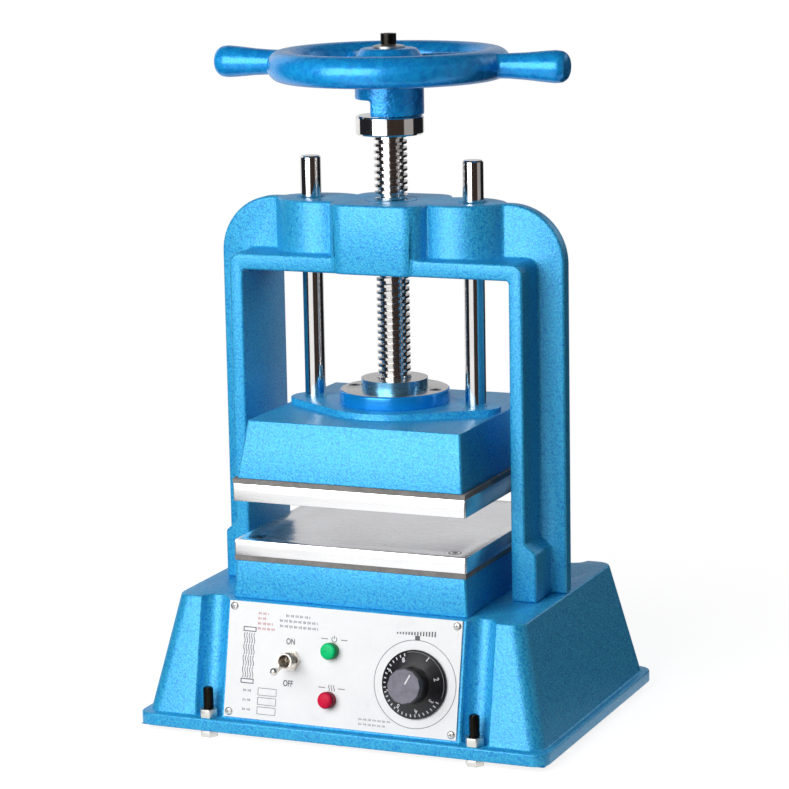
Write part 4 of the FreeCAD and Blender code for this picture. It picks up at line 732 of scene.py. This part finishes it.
def makeToggleThread(look):
    shell = bmesh.new()
    level = look["nutTop"] + 0.2
    inner, crest, pitch = look["bushRadius"] - 0.1, look["crest"], look["pitch"]
    while level + pitch < look["mouth"]:
        spinProfile(shell, [(inner, level), (crest, level + pitch * 0.35), (crest, level + pitch * 0.5),
                            (inner, level + pitch * 0.85)], 48)
        level += pitch
    spinProfile(shell, [(look["seatRadius"], look["seatBottom"]), (look["boreRadius"], look["seatBottom"]),
                        (look["boreRadius"], look["seatTop"])], 48)
    faceOutwards(shell)
    bmesh.ops.transform(shell, verts=shell.verts, matrix=fromPanel(look["across"], look["up"], 0))
    finishPiece("switch_thread_and_seat", shell, "base", "switch_nickel")


# The gap round each countersunk head in the lower platen, and the head's socket, lie in shadow
platenScrews = {"inset": 14.0, "ringRadius": 4.5, "ringLine": 0.8, "socketRadius": 2.3}


def makePlatenScrewMarks(look):
    shell = bmesh.new()
    corners = [Vector(corner) for corner in nodes["lower_platen"].bound_box]
    reach = max(corner.x for corner in corners) / mm - look["inset"]
    depth = max(corner.y for corner in corners) / mm - look["inset"]
    top = max(corner.z for corner in corners) / mm
    for side in (-1, 1):
        for end in (-1, 1):
            place = Matrix.Translation(Vector((reach * side, depth * end, top)) * mm)
            addRing(shell, look["ringRadius"], look["ringLine"], place, 40)
            addRing(shell, look["socketRadius"] / 2, look["socketRadius"], place, 6)
    finishPiece("platen_screw_shadows", shell, "base", "black_oxide")


makePanelScrews(panelFasteners)
makeToggleThread(toggle)
makePlatenScrewMarks(platenScrews)
print("fasteners made")


# Temperature dial and knob

dial = {"across": 59.5, "up": 40.5, "out": 1.9, "edgeRadius": 25.5, "shoulderRadius": 24.5, "shoulder": 2.2,
        "faceRadius": 15.0, "height": 6.5, "numberSize": 5.4, "ticksFrom": 21.6, "ticksTo": 24.0,
        "ticks": 26, "tickStart": 120.5, "tickEnd": 339.0, "tickWidth": 0.85, "zeroTurn": 28, "zeroRadius": 22.2,
        "zeroLength": 3.6, "arcRadius": 24.1, "knobSides": 12, "knobFoot": 13.9, "knobFace": 13.2,
        "knobHeight": 15.2}
# Each number's place: degrees clockwise from the top, and its radius
dialNumbers = {"2": (73, 19.3), "3": (124, 18.6), "4": (168, 19.4), "5": (212, 19.4), "6": (254, 19.4),
               "7": (295, 19.4), "8": (335, 19.2)}


def makeDial(look):
    place = fromPanel(look["across"], look["up"], look["out"])
    drop = look["height"] - look["shoulder"]
    run = look["shoulderRadius"] - look["faceRadius"]
    slope = math.atan(drop / run)
    skirt = bmesh.new()
    addRod(skirt, [(0, 0), (look["edgeRadius"], 0), (look["edgeRadius"], look["shoulder"] - 0.6),
                   (look["shoulderRadius"], look["shoulder"]), (look["faceRadius"], look["height"]),
                   (0, look["height"])], 96)
    bmesh.ops.transform(skirt, verts=skirt.verts, matrix=place)
    skirtPiece = finishPiece("temperature_skirt", skirt, "dial", "black_plastic", smoothDegrees=20)
    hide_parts("temperature_dial")
    marks = bmesh.new()

    def levelAt(radius):
        return look["shoulder"] + (look["shoulderRadius"] - radius) * drop / run + 0.04

    def onFace(turnDegrees, radius):
        return (place @ Matrix.Rotation(math.radians(-turnDegrees), 4, "Z")
                @ Matrix.Translation((0, radius * mm, levelAt(radius) * mm))
                @ Matrix.Rotation(-slope, 4, "X"))

    for number, (turn, radius) in dialNumbers.items():
        addLetters(marks, number, look["numberSize"], onFace(turn, radius), boldMm=0.16, narrow=0.85)
    middle = (look["ticksFrom"] + look["ticksTo"]) / 2
    step = (look["tickEnd"] - look["tickStart"]) / (look["ticks"] - 1)
    for number in range(look["ticks"]):
        addBar(marks, look["tickWidth"], look["ticksTo"] - look["ticksFrom"],
               onFace(look["tickStart"] + number * step, middle))
    addBar(marks, look["tickWidth"], look["zeroLength"], onFace(look["zeroTurn"], look["zeroRadius"]))
    finishPiece("dial_marks", marks, "dial", "black_plastic", inks["white"])
    arc = bmesh.new()
    lift = Matrix.Translation((0, 0, levelAt(look["arcRadius"]) * mm))
    addRing(arc, look["arcRadius"], 0.3, place @ lift, 60, fromDegrees=-20, sweep=125)
    finishPiece("dial_arc", arc, "dial", "black_plastic", inks["grey"])
    knob = bmesh.new()
    grip = bmesh.ops.create_cone(knob, cap_ends=True, segments=look["knobSides"],
                                 radius1=look["knobFoot"] * mm, radius2=look["knobFace"] * mm,
                                 depth=look["knobHeight"] * mm)
    bmesh.ops.translate(knob, verts=grip["verts"],
                        vec=(0, 0, (look["height"] + look["knobHeight"] / 2) * mm))
    bmesh.ops.bevel(knob, geom=knob.edges[:], offset=0.6 * mm, offset_type="OFFSET", segments=2,
                    profile=0.5, affect="EDGES", clamp_overlap=True, material=-1)
    bmesh.ops.transform(knob, verts=knob.verts, matrix=place)
    knobPiece = finishPiece("temperature_grip", knob, "dial", "knob_grey", finishes["black_plastic"],
                            smoothDegrees=24)
    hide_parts("temperature_knob")
    cap = bmesh.new()
    disc = bmesh.ops.create_cone(cap, cap_ends=True, segments=look["knobSides"],
                                 radius1=(look["knobFace"] - 0.25) * mm,
                                 radius2=(look["knobFace"] - 0.6) * mm, depth=0.5 * mm)
    bmesh.ops.translate(cap, verts=disc["verts"],
                        vec=(0, 0, (look["height"] + look["knobHeight"] + 0.05) * mm))
    bmesh.ops.transform(cap, verts=cap.verts, matrix=place)
    finishPiece("knob_cap_plate", cap, "dial", "knob_grey", smoothDegrees=20)
    pointer = bmesh.new()
    top = (look["height"] + look["knobHeight"] + 0.31) * mm
    addBar(pointer, 1.1, 8.0, place @ Matrix.Rotation(math.radians(-look["zeroTurn"]), 4, "Z")
           @ Matrix.Translation((0, 6.0 * mm, top)))
    finishPiece("knob_pointer", pointer, "dial", "knob_grey", inks["white"])


makeDial(dial)
print("dial marked")


# Pilot lamps: moulded caps with a flat face and a rounded edge, their side given a darker copy of
# the lens colour as painted shade

lamps = {"across": -9.0, "radius": 6.3, "height": 8.0, "greenUp": 59.0, "redUp": 22.5}


def makeLens(colour, up, look):
    shell = bmesh.new()
    radius, height = look["radius"], look["height"]
    addRod(shell, [(0, 0), (radius, 0), (radius, height - 2.2), (radius - 0.4, height - 1.1),
                   (radius - 1.2, height - 0.35), (radius - 2.4, height - 0.05), (0, height)], 48)
    bmesh.ops.transform(shell, verts=shell.verts, matrix=fromPanel(look["across"], up, panelSlope["plate"]))
    piece = finishPiece(colour + "_lens_dome", shell, "base", colour + "_lens")
    piece.data.materials.append(lensShadedSides[colour])
    # Faces turned away from the panel's face take the darker copy, as painted shade
    for face in piece.data.polygons:
        face.material_index = 0 if face.normal.dot(offSlope) > 0.7 else 1
    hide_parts(colour + "_lamp_lens")


makeLens("green", lamps["greenUp"], lamps)
makeLens("red", lamps["redUp"], lamps)
print("lamps made")


# Studio: the photograph's camera, a soft box in front to the left, a weaker one behind to the right

studio = {"azimuth": 23.19, "elevation": 10.83, "roll": -1.05, "distance": 2.33172, "lens": 139.44,
          "aim": (-0.00029, -0.00013, 0.24792), "keyWatts": 17.8, "sideWatts": 13.0, "sky": 0.035,
          "floorLift": 0.86, "floorBounce": 0.05}


def makeCamera(look):
    turn, rise, roll = (math.radians(look[part]) for part in ("azimuth", "elevation", "roll"))
    back = Vector((math.sin(turn) * math.cos(rise), -math.cos(turn) * math.cos(rise), math.sin(rise)))
    right = Vector((math.cos(turn), math.sin(turn), 0))
    up = back.cross(right)
    tiltedRight = right * math.cos(roll) + up * math.sin(roll)
    tiltedUp = up * math.cos(roll) - right * math.sin(roll)
    pose = Matrix.Identity(4)
    for column, direction in enumerate((tiltedRight, tiltedUp, back)):
        pose.col[column] = (*direction, 0)
    pose.col[3] = (*(Vector(look["aim"]) + back * look["distance"]), 1)
    data = bpy.data.cameras.new("photoCamera")
    data.lens = look["lens"]
    data.sensor_width = 36
    data.clip_end = 200
    camera = bpy.data.objects.new("photoCamera", data)
    camera.matrix_world = pose
    bpy.context.scene.collection.objects.link(camera)
    bpy.context.scene.camera = camera


def makeSoftBox(name, watts, width, height, azimuth, elevation, distance, shine=1.0):
    turn, rise = math.radians(azimuth), math.radians(elevation)
    back = Vector((math.sin(turn) * math.cos(rise), -math.cos(turn) * math.cos(rise), math.sin(rise)))
    data = bpy.data.lights.new(name, "AREA")
    data.shape = "RECTANGLE"
    data.size = width
    data.size_y = height
    data.energy = watts
    data.specular_factor = shine
    lamp = bpy.data.objects.new(name, data)
    lamp.location = Vector((0, 0, 0.25)) + back * distance
    lamp.rotation_euler = back.to_track_quat("Z", "Y").to_euler()
    bpy.context.scene.collection.objects.link(lamp)


def seenDirectly(owner):
    # 1 for what the camera, a reflection or a clear lens sees, 0 for the light that falls on the object
    path = addNode(owner, "LightPath")
    seen = addNode(owner, "Math", {0: path.outputs["Is Camera Ray"], 1: path.outputs["Is Glossy Ray"]},
                   operation="MAXIMUM")
    return addNode(owner, "Math", {0: seen.outputs[0], 1: path.outputs["Is Transmission Ray"]},
                   operation="MAXIMUM").outputs[0]


def makeSky(strength):
    world = bpy.data.worlds.new("studio")
    bpy.context.scene.world = world
    world.use_nodes = True
    world.node_tree.nodes.clear()
    level = addNode(world, "MapRange", {"Value": seenDirectly(world), "To Min": strength, "To Max": 1.0})
    glow = addNode(world, "Background", {"Color": (1, 1, 1, 1), "Strength": level.outputs["Result"]})
    addNode(world, "OutputWorld", {"Surface": glow.outputs[0]})


def makeFloor(lift, bounce):
    shell = bmesh.new()
    bmesh.ops.create_circle(shell, cap_ends=True, segments=96, radius=6.0)
    mesh = bpy.data.meshes.new("floor")
    shell.to_mesh(mesh)
    shell.free()
    material = newMaterial("white_sweep")
    place = addNode(material, "TexCoord").outputs["Object"]
    reach = addNode(material, "VectorMath", {0: place}, operation="LENGTH")
    far = addNode(material, "MapRange", {"Value": reach.outputs["Value"], "From Min": 0.25,
                                         "From Max": 0.75}, interpolation_type="SMOOTHSTEP")
    seen = seenDirectly(material)
    raised = addNode(material, "MapRange", {"Value": seen, "To Max": lift})
    paper = addNode(material, "BsdfDiffuse", {"Color": linearColour("#B0B0B0")})
    glow = addNode(material, "Emission", {"Color": (1, 1, 1, 1), "Strength": raised.outputs["Result"]})
    near = addNode(material, "AddShader", {0: paper.outputs[0], 1: glow.outputs[0]})
    level = addNode(material, "MapRange", {"Value": seen, "To Min": bounce, "To Max": 1.0})
    plain = addNode(material, "Emission", {"Color": (1, 1, 1, 1), "Strength": level.outputs["Result"]})
    joined = addNode(material, "MixShader", {0: far.outputs["Result"], 1: near.outputs[0],
                                             2: plain.outputs[0]})
    addNode(material, "OutputMaterial", {"Surface": joined.outputs[0]})
    mesh.materials.append(material)
    floor = bpy.data.objects.new("floor", mesh)
    bpy.context.scene.collection.objects.link(floor)


def makeCard(name, startAzimuth, endAzimuth, shade, outline):
    # A card that only gloss and polished metal see, as a studio's black flags are
    shell = bmesh.new()
    corners = [shell.verts.new((0, -out, level)) for out, level in outline]
    lines = [shell.edges.new(pair) for pair in zip(corners, corners[1:])]
    turn = Matrix.Rotation(math.radians(startAzimuth), 3, "Z")
    bmesh.ops.rotate(shell, verts=corners, cent=(0, 0, 0), matrix=turn)
    bmesh.ops.spin(shell, geom=corners + lines, cent=(0, 0, 0), axis=(0, 0, 1), dvec=(0, 0, 0),
                   angle=math.radians(endAzimuth - startAzimuth), steps=24, use_merge=False)
    mesh = bpy.data.meshes.new(name)
    shell.to_mesh(mesh)
    shell.free()
    material = newMaterial(name + "_card")
    addNode(material, "OutputMaterial", {"Surface": addNode(material, "Emission", {
        "Color": linearColour(shade), "Strength": 1.0}).outputs[0]})
    mesh.materials.append(material)
    card = bpy.data.objects.new(name, mesh)
    bpy.context.scene.collection.objects.link(card)
    for kind in ("camera", "diffuse", "transmission", "volume_scatter", "shadow"):
        setattr(card, "visible_" + kind, False)


makeCamera(studio)
makeSoftBox("keyBox", studio["keyWatts"], width=1.2, height=0.95, azimuth=-15, elevation=20,
            distance=1.3, shine=0.55)
makeSoftBox("sideBox", studio["sideWatts"], width=1.0, height=1.0, azimuth=148, elevation=26,
            distance=2.2, shine=0.0)
makeSky(studio["sky"])
makeFloor(studio["floorLift"], studio["floorBounce"])
# Each card stands on the floor 0.7 m out, between two azimuths, and the dark ones also cover the floor
# before them
wall = [(0.7, 0.003), (0.7, 1.0)]
footedWall = [(0.24, 0.003), *wall]
makeCard("leftCard", -99, -37, "#26262B", footedWall)
makeCard("frontRightCard", 13, 71, "#3A302C", footedWall)
makeCard("rightPaleCard", 71, 107, "#A8A4A2", wall)
makeCard("rightDarkCard", 107, 172, "#1C1E22", footedWall)
makeCard("rearGreyCard", 172, 223, "#D4D4D6", wall)
makeCard("frontCard", -37, 13, "#FFFFFF", [(0.7, 0.003), (0.7, 0.2)])
makeCard("ceilingCard", 0, 360, "#3A3D41", [(0.02, 1.0), (0.7, 1.0)])
bpy.context.scene.view_settings.view_transform = "Standard"
print("studio set")
